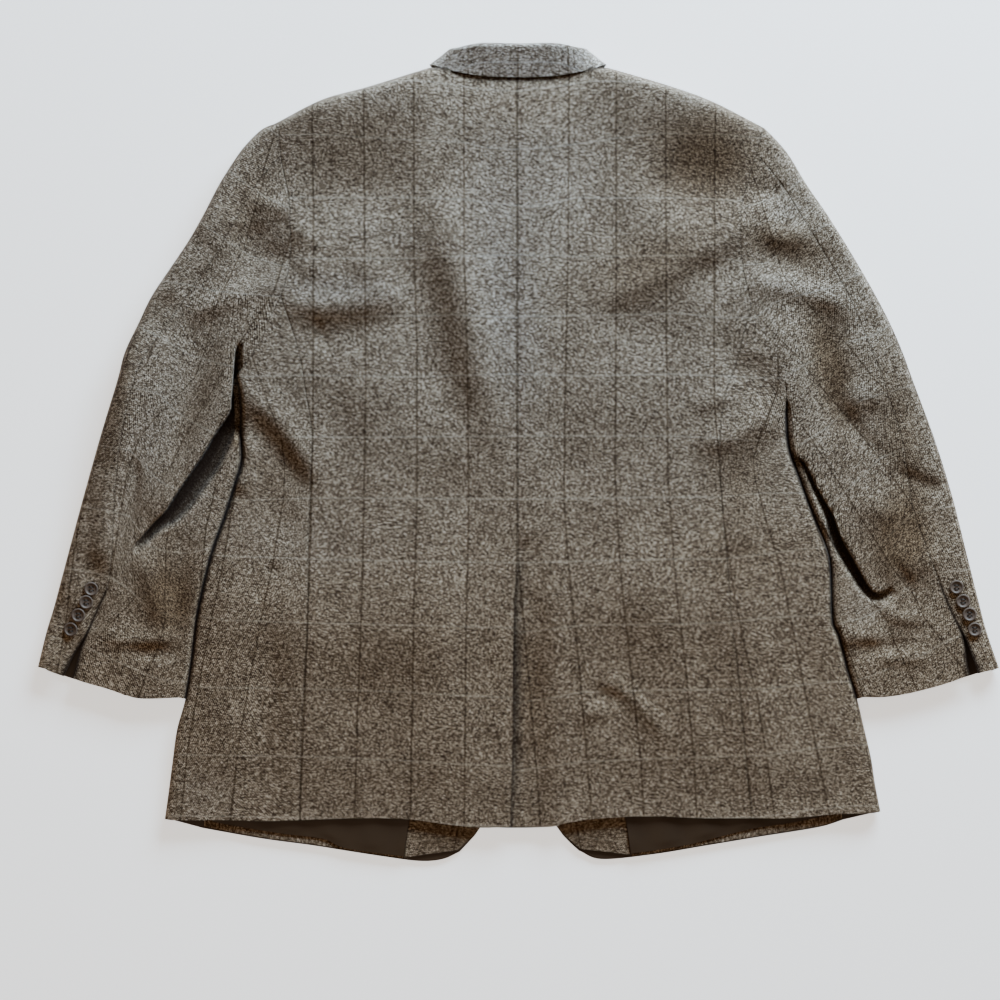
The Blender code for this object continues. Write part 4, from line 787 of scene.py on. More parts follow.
def fold_row(pixels, half_width, height):
    """A fold as its two ends, its sideways bow, half its width and its height, in millimetres.

    The bow is that of the parabola through both ends and the point between them. The height is kept
    below a share of half the width.
    """
    first, last = from_photo(pixels)[[0, -1]]
    run = last - first
    length = math.hypot(*run)
    bow = 0.0
    if len(pixels) == 3:
        part = from_photo(pixels)[1] - first
        share = part @ run / length ** 2
        bow = (part[0] * run[1] - part[1] * run[0]) / length / (4.0 * share * (1.0 - share))
    half_width = half_width * MM_PER_PIXEL
    limit = FOLD_STEEPEST * half_width
    return (*first, *last, bow, half_width, min(max(height, -limit), limit))


FOLDS = [fold_row(*reading) for reading in FOLD_READINGS]


def body_height(plan):
    """Height of the outside of the back."""
    return upper_height(plan, FOLDS)


def fold_distance(plan, fold):
    """For each point, how far it lies beyond a deep fold's edge, how wide the fold's gap is there, and
    how much of the fold is left there.

    The edge is a line of points from the armhole down. The nearest of its points gives the distance,
    which is below 0 on the side of the sleeve's upper part.
    """
    table = np.array(fold, float)
    fine = smooth_line(table, np.linspace(0.0, 1.0, FOLD_FINE))
    line, gap, strength = fine[:, :2], fine[:, 2], fine[:, 3]
    run = unit(np.gradient(line, axis=0))
    flat = plan.reshape(-1, 2)
    nearest = np.argmin(((flat[:, None] - line[None]) ** 2).sum(axis=2), axis=1)
    away = flat - line[nearest]
    turn = np.sign(line[-1, 0] - line[0, 0])
    side = (run[nearest, 0] * away[:, 1] - run[nearest, 1] * away[:, 0]) * -turn
    distance = np.sign(side) * np.linalg.norm(away, axis=1)
    shape = plan.shape[:2]
    return distance.reshape(shape), gap[nearest].reshape(shape), strength[nearest].reshape(shape)


def with_height(plan, height):
    """Plan points and a height for each as points in space."""
    return np.dstack([plan, np.broadcast_to(height, plan.shape[:2])])


def upper_layer(plan, height):
    """Outer and inner points of the upper layer, as far apart as makes the wall even on a slope."""
    step = 1.0
    z = height(plan)
    slope_x = (height(plan + [step, 0.0]) - z) / step
    slope_y = (height(plan + [0.0, step]) - z) / step
    depth = WALL * np.minimum(np.sqrt(1.0 + slope_x**2 + slope_y**2), STEEPEST)
    return with_height(plan, z), with_height(plan, z - depth)


def lower_layer(plan, floor):
    """Outer and inner points of a lower layer, whose outside lies on the given floor."""
    return with_height(plan, floor), with_height(plan, floor + WALL)


def rolled_edge(edge, outward, reach, top, floor, turns, wall=WALL):
    """Half an ellipse round a folded edge, from the upper layer down to the lower one.

    edge holds the furthest points, outward their directions, top and floor the heights of the two
    layers, and turns the angles, from 0 at the top to half a turn at the floor.
    """
    sine = np.sin(turns)[None, :, None]
    cosine = np.cos(turns)[None, :]
    start = (edge - reach * outward)[:, None]
    middle = 0.5 * (top + floor)[:, None]
    half = 0.5 * (top - floor)[:, None]
    outer = start + reach * sine * outward[:, None]
    inner = start + (reach - wall) * sine * outward[:, None]
    return (
        np.dstack([outer, middle + half * cosine]),
        np.dstack([inner, middle + (half - wall) * cosine]),
    )


def edge_normals(edge, side):
    """Directions in plan square to an edge, to its left for side 1 and to its right for side -1."""
    run = np.gradient(edge, axis=0)
    return side * unit(np.stack([-run[:, 1], run[:, 0]], axis=1))


def turned_from(first, normals, place):
    """Edge directions that start along another edge and turn to the normals over two coarse rows."""
    blend = np.interp(place, *EDGE_TURN)[:, None]
    return unit((1 - blend) * first + blend * normals)


def drawn_in(points, gap, rows="", columns=""):
    """Pulls the first or last row or column towards its neighbour, which opens the gap at a seam."""
    points = points.copy()
    rows_in = {"first": (0, 1), "last": (-1, -2)}
    for name in rows.split():
        edge, next_in = rows_in[name]
        points[edge] += gap * unit(points[next_in] - points[edge])
    for name in columns.split():
        edge, next_in = rows_in[name]
        points[:, edge] += gap * unit(points[:, next_in] - points[:, edge])
    return points


def from_border(points, name):
    """Distance of each point from the first or last row or column, along the grid."""
    way, end = name.split()
    axis = 0 if way == "row" else 1
    steps = np.linalg.norm(np.diff(points, axis=axis), axis=2)
    zero = np.zeros_like(np.take(steps, [0], axis=axis))
    if end == "first":
        return np.concatenate([zero, np.cumsum(steps, axis=axis)], axis=axis)
    steps = np.flip(np.cumsum(np.flip(steps, axis), axis=axis), axis)
    return np.concatenate([steps, zero], axis=axis)


def sunk(outer, *borders):
    """Lets the cloth sink into the seams at the named borders: a bell across each seam."""
    dip = 0.0
    for name in borders:
        dip = np.maximum(dip, np.exp(-((from_border(outer, name) / SEAM_REACH) ** 2)))
    outer = outer.copy()
    outer[..., 2] -= SEAM_DIP * dip
    return outer


def seam_shade(outer, *borders):
    """The painted shade in the seams on the named borders: a bell across each seam."""
    shade = 0.0
    for name in borders:
        shade = np.maximum(shade, np.exp(-((from_border(outer, name) / SEAM_SHADE_REACH) ** 2)))
    return SEAM_SHADE * shade


def laid_open(points, column, outward):
    """Plan points of the cloth laid open beyond a column: the distance along each row, straight out."""
    plan = points[..., :2].copy()
    beyond = points[:, column:]
    steps = np.linalg.norm(np.diff(beyond, axis=1), axis=2)
    length = np.concatenate([np.zeros((len(points), 1)), np.cumsum(steps, axis=1)], axis=1)
    plan[:, column:] = plan[:, column][:, None] + length[..., None] * outward[:, None]
    return plan


def laid_open_above(points, row, outward):
    """The same for a grid whose rows before the given one roll over an edge at its top."""
    turned = np.moveaxis(points[::-1], 0, 1)
    return np.moveaxis(laid_open(turned, len(points) - 1 - row, outward), 0, 1)[::-1]


def cloth_places(plan, name, way=(0.0, -1.0)):
    """Where each point lies in the cloth, in metres, from how the check lies on the piece.

    The points are turned so that one axis runs along the piece. Between two dark stripes, the distance
    across the cloth grows evenly from one to the other, and so does the length along it between two
    light bars. Outside the lines it goes on at the cloth's own scale.
    """
    along_way = unit(way)
    across_way = np.array([-along_way[1], along_way[0]])
    flat = plan.reshape(-1, 2)
    along, across = flat @ along_way, flat @ across_way

    def counted(lines, here, there, spacing):
        """The number that the lines give each point."""
        numbers = sorted(lines)
        at = []
        for number in numbers:
            line = from_photo(lines[number])
            line_here = line @ (along_way if here is along else across_way)
            line_there = line @ (across_way if here is along else along_way)
            order = np.argsort(line_here)
            at.append(np.interp(here, line_here[order], line_there[order]))
        sign = 1.0 if np.mean(at[-1]) > np.mean(at[0]) else -1.0
        count = np.full(len(here), float(numbers[0]))
        for lower, upper, first, second in zip(numbers, numbers[1:], at, at[1:]):
            share = np.clip((there - first) / (second - first), 0.0, 1.0)
            count += share * (upper - lower)
        count += np.minimum((there - at[0]) * sign, 0.0) / spacing
        return count + np.maximum((there - at[-1]) * sign, 0.0) / spacing

    stripes = counted(STRIPES[name], along, across, STRIPE_SPACING)
    bars = counted(BARS[BARS_OF.get(name, name)], across, along, BAR_SPACING)
    places_in = np.stack([stripes * STRIPE_SPACING, bars * BAR_SPACING], axis=1) * MM
    return places_in.reshape(plan.shape)


def plain_places(points):
    """Cloth coordinates of a piece without check lines: the lengths along its rows and columns."""
    across = from_border(points, "column first")
    down = from_border(points, "row first")
    return np.dstack([across, down]) * MM


def put(name, verts, faces, finishes, face_finish=None):
    """A mesh object at the origin from vertices in millimetres and faces of four corners each."""
    mesh = bpy.data.meshes.new(name)
    mesh.vertices.add(len(verts))
    mesh.vertices.foreach_set("co", (verts * MM).astype(np.float32).ravel())
    mesh.loops.add(faces.size)
    mesh.loops.foreach_set("vertex_index", faces.astype(np.int32).ravel())
    mesh.polygons.add(len(faces))
    mesh.polygons.foreach_set("loop_start", np.arange(0, faces.size, 4, dtype=np.int32))
    mesh.update(calc_edges=True)
    for finish in finishes:
        mesh.materials.append(finish)
    if face_finish is not None:
        mesh.polygons.foreach_set("material_index", face_finish.astype(np.int32))
    mesh.shade_smooth()
    mesh.set_sharp_from_angle(angle=SHARP_ANGLE)
    piece = bpy.data.objects.new(name, mesh)
    bpy.context.scene.collection.objects.link(piece)
    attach(piece, "root")
    return piece


def volume(verts, faces):
    """Signed volume inside faces of four corners: a sum of pyramids to the origin."""
    a, b, c, d = (verts[faces[:, k]] for k in range(4))
    first = np.einsum("ij,ij->i", a, np.cross(b, c))
    second = np.einsum("ij,ij->i", a, np.cross(c, d))
    return (first + second).sum() / 6.0


def wall_faces(rows, columns):
    """Corners of the faces of a closed wall between two grids, and which of them are inside it."""
    top = np.arange(rows * columns).reshape(rows, columns)
    under = top + rows * columns

    def quads(a, b, c, d):
        """Faces whose corners are the same places of four equal arrays."""
        return np.stack([a.ravel(), b.ravel(), c.ravel(), d.ravel()], axis=1)

    outside = quads(top[:-1, :-1], top[:-1, 1:], top[1:, 1:], top[1:, :-1])
    inside = quads(under[:-1, :-1], under[1:, :-1], under[1:, 1:], under[:-1, 1:])
    bands = np.vstack([
        quads(top[:-1, 0], top[1:, 0], under[1:, 0], under[:-1, 0]),
        quads(top[1:, -1], top[:-1, -1], under[:-1, -1], under[1:, -1]),
        quads(top[0, 1:], top[0, :-1], under[0, :-1], under[0, 1:]),
        quads(top[-1, :-1], top[-1, 1:], under[-1, 1:], under[-1, :-1]),
    ])
    faces = np.vstack([outside, inside, bands])
    is_inside = np.zeros(len(faces), bool)
    is_inside[len(outside):len(outside) + len(inside)] = True
    return faces, is_inside


def add_values(piece, name, values):
    """Gives a piece one named number at each point, for its finish to read."""
    layer = piece.data.attributes.new(name, "FLOAT", "POINT")
    layer.data.foreach_set("value", values.astype(np.float32))


def light_and_shade_tone(points):
    """The sum of the broad patches of painted light and shade at each point, each a bell over a leaning
    ellipse.
    """
    tone = np.zeros(points.shape[:2])
    for x, y, half_width, half_height, lean, change in LIGHT_AND_SHADE_PATCHES:
        turn = math.radians(lean)
        aside, up = points[..., 0] - x, points[..., 1] - y
        u = (aside * math.cos(turn) + up * math.sin(turn)) / half_width
        v = (up * math.cos(turn) - aside * math.sin(turn)) / half_height
        tone += change * np.exp(-(u * u + v * v) ** 1.2)
    return np.clip(tone, -1.0, 1.0)


def cloth_piece(name, outer, inner, cloth, finish="tweed", back=None, shade=None, light_and_shade=0.0):
    """One closed wall between two grids of points, with its cloth coordinates, its painted shade and its
    patches of painted light and shade.
    """
    rows, columns = outer.shape[:2]
    verts = np.vstack([outer.reshape(-1, 3), inner.reshape(-1, 3)])
    faces, is_inside = wall_faces(rows, columns)
    if volume(verts, faces) < 0:
        faces = faces[:, ::-1]
    finishes = [FINISHES[finish]] + ([FINISHES[back]] if back else [])
    piece = put(f"{name}_cloth", verts, faces, finishes, is_inside if back else None)
    mesh = piece.data
    both = np.vstack([cloth.reshape(-1, 2)] * 2)
    layer = mesh.uv_layers.new(name="cloth")
    layer.data.foreach_set("uv", both[faces.ravel()].astype(np.float32).ravel())
    if shade is None:
        shade = np.zeros((rows, columns))
    add_values(piece, "shade", np.concatenate([shade.ravel()] * 2))
    add_values(piece, "light_and_shade", np.concatenate([(light_and_shade_tone(outer) + light_and_shade).ravel()] * 2))
    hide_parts(name)


def seams(side):
    """The lines that pieces share on one side, with the directions in which their edges roll."""
    lines = OUTLINES[side]
    shoulder = even(lines["shoulder"], SHOULDER_FINE)
    shoulder_out = edge_normals(shoulder, SIGNS[side])
    cap = np.array([shoulder[-1] - SHOULDER_ROLL * shoulder_out[-1], lines["armhole"][0]])
    underarm = even(lines["underarm"], UNDERARM_SPAN[0])
    underarm_out = unit(underarm[-1] - underarm[-2])
    underarm[-1] = underarm[-1] - BODY_ROLL * underarm_out
    armhole = even(lines["armhole"], ARMHOLE_SPAN[0])
    coarse_cap = straight(cap, [0.0, 0.5, 1.0])
    front_top = even(joined(coarse_cap, armhole, underarm[:3]), LOWER_ARMHOLE_SPAN[0])
    front_top[-1] = lines["front_seam"][0]
    fore = 0.5 * (front_top[-1] + underarm[-1])
    return {
        "shoulder": shoulder,
        "shoulder_out": shoulder_out,
        "cap": cap,
        "underarm": underarm,
        "underarm_out": underarm_out,
        "lower_armhole": np.vstack([front_top, fore, underarm[-1]]),
    }


def vent_edge_x(y):
    """Where the left back's vent edge lies at each y."""
    edge_y, edge_x = np.array(VENT_EDGE, float)[::-1].T
    return np.interp(y, edge_y, edge_x)


def centre_line(side, y):
    """The centre edge of one half of the back. Below the seam it is the vent's edge on the left, and on
    the right the lap's edge, which reaches under the left half and flares to the hem."""
    if side == "left":
        return np.stack([vent_edge_x(y), y], axis=1)
    x = -LAP_WIDTH * smooth_step((VENT_TOP_Y - y) / (VENT_TOP_Y - LAP_FULL_Y))
    x -= LAP_FLARE * smooth_step((LAP_FULL_Y - y) / (LAP_FULL_Y - CENTRE_HEM_Y))
    return np.stack([x, y], axis=1)


def lap_height(plan):
    """Height of the outside of the back's right half: lower where it lies under the left half."""
    under = smooth_step((VENT_TOP_Y + LAP_EASE - plan[..., 1]) / LAP_EASE)
    deeper = smooth_step((VENT_TOP_Y - plan[..., 1]) / VENT_DEEPEN)
    near = 1.0 - smooth_step((plan[..., 0] - LAP_REACH) / VENT_RISE)
    z = body_height(plan)
    drop = LAP_DROP * under + (VENT_DEPTH - LAP_DROP) * deeper
    beneath = np.maximum(left_front_floor(plan), right_front_floor(plan)) + 2.0 * LAYER
    kept = z - VENT_LOWEST_SHARE * LAP_DROP * under
    lowest = np.minimum(kept, np.maximum(beneath + 1.0, VENT_FLOOR))
    return z - np.minimum(drop * near, z - lowest)


def back_panel(side):
    """Half of the back, from the centre seam to the armhole and the side seam."""
    lines = OUTLINES[side]
    shared = seams(side)
    straight_up = np.array([0.0, 1.0])
    edge = joined(even(lines["neck"], NECK_FINE), shared["shoulder"])
    outward = np.vstack([np.tile(straight_up, (NECK_FINE, 1)), shared["shoulder_out"]])
    turn = smooth_step(np.arange(len(edge)) / NECK_FINE - 0.5)[:, None]
    outward = unit((1.0 - turn) * straight_up + turn * outward)
    half = abs(edge[-1, 0])
    coarse = np.abs(edge[:, 0]) / half
    close = np.array(SEAM_STEPS) / half
    across = np.union1d(np.union1d(coarse, close), 1.0 - close)
    rolls = smooth_step((coarse * half - NECK_ROLL_X) / NECK_ROLL_EASE)
    rolls = np.interp(across, coarse, rolls)[:, None]
    edge = np.stack([np.interp(across, coarse, edge[:, k]) for k in range(2)], axis=1)
    outward = unit(np.stack([np.interp(across, coarse, outward[:, k]) for k in range(2)], axis=1))

    place = places([CAP_SPAN, ARMHOLE_SPAN, SIDE_SPAN], CELL, last=True)
    outer_line = end_to_end(
        place, (CAP_SPAN[0], straight, shared["cap"]), (ARMHOLE_SPAN[0], smooth_line, lines["armhole"]),
        (SIDE_SPAN[0], smooth_line, lines["side_seam"]))
    top = edge - SHOULDER_ROLL * outward
    centre = centre_line(side, np.interp(place, VENT_ROWS, [top[0, 1], VENT_TOP_Y, LAP_FULL_Y, CENTRE_HEM_Y]))
    hem = smooth_line(lines["back_hem"], across)
    centre[-1] = hem[0]
    plan = coons(top, hem, centre, outer_line, across, place / place[-1])
    height = lap_height if side == "right" else body_height
    outer, inner = upper_layer(plan, height)
    turns = np.linspace(0.0, math.pi / 2, ROLL_CELLS // 2 + 1)[:0:-1]
    roll_outer, roll_inner = rolled_edge(
        edge, outward, SHOULDER_ROLL, outer[0, :, 2], np.zeros(len(edge)), turns)
    flat_plan = np.moveaxis(roll_outer[..., :2], 0, 1)
    flat_outer, flat_inner = upper_layer(flat_plan, height)
    roll_outer = rolls * np.moveaxis(roll_outer, 0, 1) + (1 - rolls) * flat_outer
    roll_inner = rolls * np.moveaxis(roll_inner, 0, 1) + (1 - rolls) * flat_inner
    outer = drawn_in(np.concatenate([roll_outer, outer]), -SEAM_LAP, "first", "first last")
    inner = drawn_in(np.concatenate([roll_inner, inner]), -SEAM_LAP, "first", "first last")
    cloth = cloth_places(laid_open_above(outer, len(turns), outward), f"back_{side}")
    shade = seam_shade(outer, "column first", "column last")
    if side == "right":
        shade = np.maximum(shade, vent_shade(outer))
    shade = np.maximum(shade, collar_shade(outer))
    outer = sunk(outer, "column first", "column last")
    cloth_piece(f"back_{side}", outer, inner, cloth, back="lining", shade=shade)


def collar_shade(outer):
    """The painted shadow below the collar: full above a line of y over x, with a soft rise to it."""
    x, y = outer[..., 0], outer[..., 1]
    above = smooth_step((y - np.interp(x, *COLLAR_SHADOW)) / COLLAR_SHADE_EASE + 0.5)
    return COLLAR_SHADE * above * (np.abs(x) < COLLAR_SHADOW[0][-1])


def vent_shade(outer):
    """The painted shade on the under lap beside the edge that lies on it: a thin line and a wide soft bell,
    both of the distance from that edge, which start at the tack and fade towards the hem."""
    x, y = outer[..., 0], outer[..., 1]
    beyond = np.maximum(x - vent_edge_x(y), 0.0)
    started = smooth_step((VENT_TOP_Y + VENT_SHADE_HEAD - y) / VENT_SHADE_EASE)
    line = VENT_LINE * np.exp(-((beyond / VENT_LINE_REACH) ** 2))
    bell = np.interp(y, *VENT_SHADE) * np.exp(-((beyond / VENT_SHADE_REACH) ** 4))
    return started * (line + bell).clip(0.0, 1.0)


def side_panel(side):
    """The panel between back and front, which turns under at the body's edge."""
    lines = OUTLINES[side]
    shared = seams(side)
    place = places([SIDE_SPAN], CELL, first=True)
    share = place / place[-1]
    edge = smooth_line(lines["body_edge"], share)
    outward = turned_from(shared["underarm_out"], edge_normals(edge, SIGNS[side]), place)
    start = edge - BODY_ROLL * outward
    across = places([SIDE_ACROSS], CELL, first=True)
    hem = smooth_line([*lines["side_hem"][:-1], start[-1]], across)
    start[0] = shared["underarm"][-1]
    underarm = smooth_line(shared["underarm"], across)
    side_seam = smooth_line(lines["side_seam"], share)
    plan = coons(underarm, hem, side_seam, start, across, share)
    upper_outer, upper_inner = upper_layer(plan, body_height)
    turns = np.linspace(0.0, math.pi, ROLL_CELLS + 1)[1:-1]
    roll_outer, roll_inner = rolled_edge(
        edge, outward, BODY_ROLL, upper_outer[:, -1, 2], np.zeros(len(edge)), turns)
    front_seam = smooth_line(lines["front_seam"], share)
    below = places([SIDE_BELOW], FLAT_CELL)
    armhole_below = straight(shared["lower_armhole"][::-1][:3], below)
    under_hem = straight(np.array([start[-1], front_seam[-1]]), below)
    lower_plan = coons(armhole_below, under_hem, start, front_seam, below, share)
    lower_outer, lower_inner = lower_layer(lower_plan, 0.0)
    outer = np.concatenate([upper_outer, roll_outer, lower_outer], axis=1)
    inner = np.concatenate([upper_inner, roll_inner, lower_inner], axis=1)
    outer = drawn_in(outer, -SEAM_LAP, "first", "first last")
    inner = drawn_in(inner, -SEAM_LAP, "first", "first last")
    column = upper_outer.shape[1] - 1
    cloth = cloth_places(laid_open(outer, column, outward), f"side_{side}")
    shade = seam_shade(outer, "column first", "row first")
    cuff_y = lines["sleeve_inner"][-1][1]
    above_cuff = smooth_step((edge[:, 1] - cuff_y + CREASE_CUFF_EASE) / CREASE_CUFF_EASE)
    shade = np.maximum(shade, crease_shade(outer, column) * above_cuff[:, None])
    outer = sunk(outer, "column first", "row first")
    cloth_piece(f"side_{side}", outer, inner, cloth, back="lining", shade=shade)


def crease_shade(outer, column):
    """The painted shade where the cloth rolls down into the crease between sleeve and body: it rises with
    the distance beyond the column where the roll starts."""
    beyond = from_border(outer, "column first")
    return CREASE_SHADE * smooth_step((beyond - beyond[:, column][:, None] - CREASE_START) / CREASE_REACH)


def left_front_floor(plan):
    """Height of the left front's outside: it lies on its lapel and on the buttons."""
    x, y = plan[..., 0], plan[..., 1]
    from_buttons = np.abs(y - TOP_BUTTON_Y + FRONT_BUTTON_SPACING / 2)
    over_buttons = 1.0 - smooth_step((np.abs(x) - BUTTON_LIFT_X) / LIFT_EASE)
    over_buttons = over_buttons * (1.0 - smooth_step((from_buttons - BUTTON_LIFT_Y) / LIFT_EASE))
    return np.maximum(BUTTON_LIFT * over_buttons, over_lapel(-x, y))


def over_lapel(reach, y):
    """Lift over a lapel and the collar's front end, at a distance towards its own side."""
    rows, reaches = zip(*LAPEL_REACH)
    beyond = reach - np.interp(y, rows, reaches) - LIFT_MARGIN
    started = smooth_step((y - LAPEL_LIFT_Y) / LIFT_EASE)
    return LAPEL_LIFT * (1.0 - smooth_step(beyond / LIFT_EASE)) * started


def right_front_base(plan):
    """Height of what the right front's lapel lies on: the left front near the centre, else the floor."""
    x, y = plan[..., 0], plan[..., 1]
    over_left = 1.0 - smooth_step((x - OVERLAP_LIFT_X) / OVERLAP_EASE)
    over_left = over_left * smooth_step((y - OVERLAP_FOOT_Y) / OVERLAP_FOOT_EASE)
    over_left = over_left * (1.0 - smooth_step((y - OVERLAP_HEAD_Y) / OVERLAP_HEAD_EASE))
    return over_left * (left_front_floor(plan) + LAYER + FRONT_EASE)


def right_front_floor(plan):
    """Height of the right front's outside."""
    return right_front_base(plan) + over_lapel(plan[..., 0], plan[..., 1])


FRONT_FLOORS = {"left": left_front_floor, "right": right_front_floor}


def front_panel(side):
    """A front, face down, from the shoulder seam to the hem."""
    lines = OUTLINES[side]
    shared = seams(side)
    edge = shared["shoulder"][::-1]
    outward = shared["shoulder_out"][::-1]
    across = 1.0 - (1.0 - np.linspace(0.0, 1.0, len(edge))) ** 1.5  # closer at the neck
    edge = smooth_line(edge, across)
    outward = unit(smooth_line(outward, across))
    top = edge - SHOULDER_ROLL * outward
    place = places([LOWER_ARMHOLE_SPAN, SIDE_SPAN], FLAT_CELL)
    outer_line = end_to_end(
        place, (LOWER_ARMHOLE_SPAN[0], straight, shared["lower_armhole"][:4]),
        (SIDE_SPAN[0], smooth_line, lines["front_seam"]))
    top[0] = outer_line[0]
    centre = end_to_end(
        place, (FRONT_EDGE_CELLS[0], smooth_line, lines["front_edge"][:2]),
        (FRONT_EDGE_CELLS[1], smooth_line, lines["front_edge"][1:]))
    centre += (top[-1] - centre[0]) * np.clip(1.0 - place / FRONT_NECK_CELLS, 0.0, 1.0)[:, None]
    hem = smooth_line(lines["front_hem"], across)
    plan = coons(top, hem, outer_line, centre, across, place / place[-1])
    outer, inner = lower_layer(plan, FRONT_FLOORS[side](plan))
    turns = np.linspace(math.pi / 2, math.pi, ROLL_CELLS // 2 + 1)[:-1]
    upper = body_height(top[None])[0]
    low = outer[0, :, 2]
    roll_outer, roll_inner = rolled_edge(edge, outward, SHOULDER_ROLL, upper - low, low, turns)
    outer = np.concatenate([np.moveaxis(roll_outer, 0, 1), outer])
    inner = np.concatenate([np.moveaxis(roll_inner, 0, 1), inner])
    outer = drawn_in(outer, SEAM_GAP / 2, "first", "first")
    inner = drawn_in(inner, SEAM_GAP / 2, "first", "first")
    cloth = cloth_places(laid_open_above(outer, len(turns), outward), f"back_{side}")
    cloth_piece(f"front_{side}", outer, inner, cloth, back="lining")


def sleeve(side):
    """The two pieces of a sleeve: the top sleeve turns under at the outer edge, the under sleeve at
    the inner one. They meet at the hind seam above and at the fore seam below."""
    lines = OUTLINES[side]
    shared = seams(side)
    sign = SIGNS[side]
    place = places([SLEEVE_SPAN], FINE_CELL, first=True)
    share = place / place[-1]
    outer_edge = smooth_line(lines["sleeve_outer"], share)
    inner_edge = smooth_line(lines["sleeve_inner"], share ** INNER_SPREAD)
    body_y, body_x = smooth_line(lines["body_edge"], np.linspace(0.0, 1.0, 200))[::-1, ::-1].T
    beside = np.interp(inner_edge[:, 1], body_y, body_x) - sign * CREASE_LAP
    close = smooth_step((lines["body_edge"][0][1] + CREASE_HEAD - inner_edge[:, 1]) / CREASE_CLOSE)
    inner_edge[:, 0] += close * (beside - inner_edge[:, 0])
    hind = smooth_line(lines["hind_seam"], share)
    outer_out = edge_normals(outer_edge, sign)
    turn = smooth_step(place)[:, None]
    outer_out = unit((1.0 - turn) * shared["shoulder_out"][-1] + turn * outer_out)
    inner_out = turned_from(shared["underarm_out"], edge_normals(inner_edge, -sign), place)
    outer_start = outer_edge - SLEEVE_OUTER_ROLL * outer_out
    inner_start = inner_edge - SLEEVE_INNER_ROLL * inner_out

    cap_share = places([SLEEVE_ACROSS], CELL, last=True)
    arm_place = places([ARMHOLE_SPAN, UNDERARM_SPAN], CELL, first=True)
    arm_share = arm_place / arm_place[-1]
    cap = straight(shared["cap"], cap_share)
    outer_start[0] = cap[0]
    arm = end_to_end(
        arm_place, (ARMHOLE_SPAN[0], smooth_line, lines["armhole"]),
        (UNDERARM_SPAN[0], smooth_line, shared["underarm"]))
    away = sign * np.array([-shared["underarm_out"][1], shared["underarm_out"][0]])
    at_underarm = np.clip((arm_place - ARMHOLE_SPAN[0]) / UNDERARM_SPAN[0], 0.0, 1.0)
    arm += UNDERARM_EASE * at_underarm[:, None] * away
    inner_start[0] = arm[-1]
    cuff = even(lines["cuff"], CUFF_FINE)
    split = int(np.argmin(np.linalg.norm(cuff - hind[-1], axis=1)))
    hind = hind + (cuff[split] - hind[-1]) * share[:, None] ** SEAM_END_PULL
    cuff_cap = smooth_line(np.vstack([outer_start[-1], cuff[split // 2], cuff[split]]), cap_share)
    cuff_arm = smooth_line(np.vstack([cuff[split:-8:6], inner_start[-1]]), arm_share)
    cap_plan = coons(cap, cuff_cap, outer_start, hind, cap_share, share)
    arm_plan = sleeve_patch(arm, cuff_arm, hind, inner_start, arm_share, share)
    open_by = WEDGE_WIDTH * wedge_share(share) ** 3 * (1.0 - arm_share) ** 6
    arm_plan += open_by[..., None] * unit(inner_start - hind)[:, None]

    below = shared["lower_armhole"]
    below_share = places([SLEEVE_ACROSS], FLAT_CELL)
    cuff_line = np.vstack([outer_start[-1], cuff[10:50:10], inner_start[-1]])
    cuff_below = smooth_line(cuff_line, CUFF_BELOW * below_share)
    fore = inner_start + FORE_SEAM_SHARE * (outer_start - inner_start)
    to_armhole = (below[-2] - fore[0]) * (1.0 - share[:, None]) ** SEAM_START_PULL
    to_cuff = (cuff_below[-1] - fore[-1]) * share[:, None] ** SEAM_END_PULL
    fore = fore + to_armhole + to_cuff
    armhole_below = straight(below[:-1], below_share)
    under_plan = coons(armhole_below, cuff_below, outer_start, fore, below_share, share)

    turns = np.linspace(0.0, math.pi, ROLL_CELLS + 1)[1:-1]
    flat = np.zeros(len(share))
    height = sleeve_height(side)
    cap_outer, cap_inner = upper_layer(cap_plan, height)
    arm_outer, arm_inner = upper_layer(arm_plan, height)
    out_outer, out_inner = rolled_edge(
        outer_edge, outer_out, SLEEVE_OUTER_ROLL, cap_outer[:, 0, 2], flat, turns)
    in_outer, in_inner = rolled_edge(
        inner_edge, inner_out, SLEEVE_INNER_ROLL, arm_outer[:, -1, 2], flat, turns)
    low_outer, low_inner = lower_layer(under_plan, 0.0)
    strip_outer, strip_inner = lower_layer(np.stack([inner_start, fore], axis=1), 0.0)

    top_outer = np.concatenate([cap_outer[:, ::-1], out_outer, low_outer], axis=1)
    top_inner = np.concatenate([cap_inner[:, ::-1], out_inner, low_inner], axis=1)
    under_outer = np.concatenate([arm_outer, in_outer, strip_outer], axis=1)
    under_inner = np.concatenate([arm_inner, in_inner, strip_inner], axis=1)
    way = (sign * SLEEVE_WAY[0], SLEEVE_WAY[1])
    for name, outer, inner, column, outward in (
        ("top", top_outer, top_inner, cap_outer.shape[1] - 1, outer_out),
        ("under", under_outer, under_inner, arm_outer.shape[1] - 1, inner_out),
    ):
        outer = drawn_in(outer, -SEAM_LAP, "first", "first last")
        inner = drawn_in(inner, -SEAM_LAP, "first", "first last")
        cloth = cloth_places(laid_open(outer, column, outward), f"{name}_sleeve_{side}", way)
        shade = fold_shade(outer[..., :2], side)
        shade[:, column + 1:] = 0.0
        plan = outer[..., :2].copy()
        outer[..., :2] = overhung(plan, side)
        outer[:, column + 1:, :2] = plan[:, column + 1:]
        shade = np.maximum(shade, seam_shade(outer, "column first", "row first"))
        if name == "under":
            shade = np.maximum(shade, crease_shade(outer, column) * close[:, None])
        shade = np.maximum(shade, slit_shade(outer, share))
        outer = sunk(outer, "column first", "row first")
        cloth_piece(f"{name}_sleeve_{side}", outer, inner, cloth, back="lining", shade=shade)


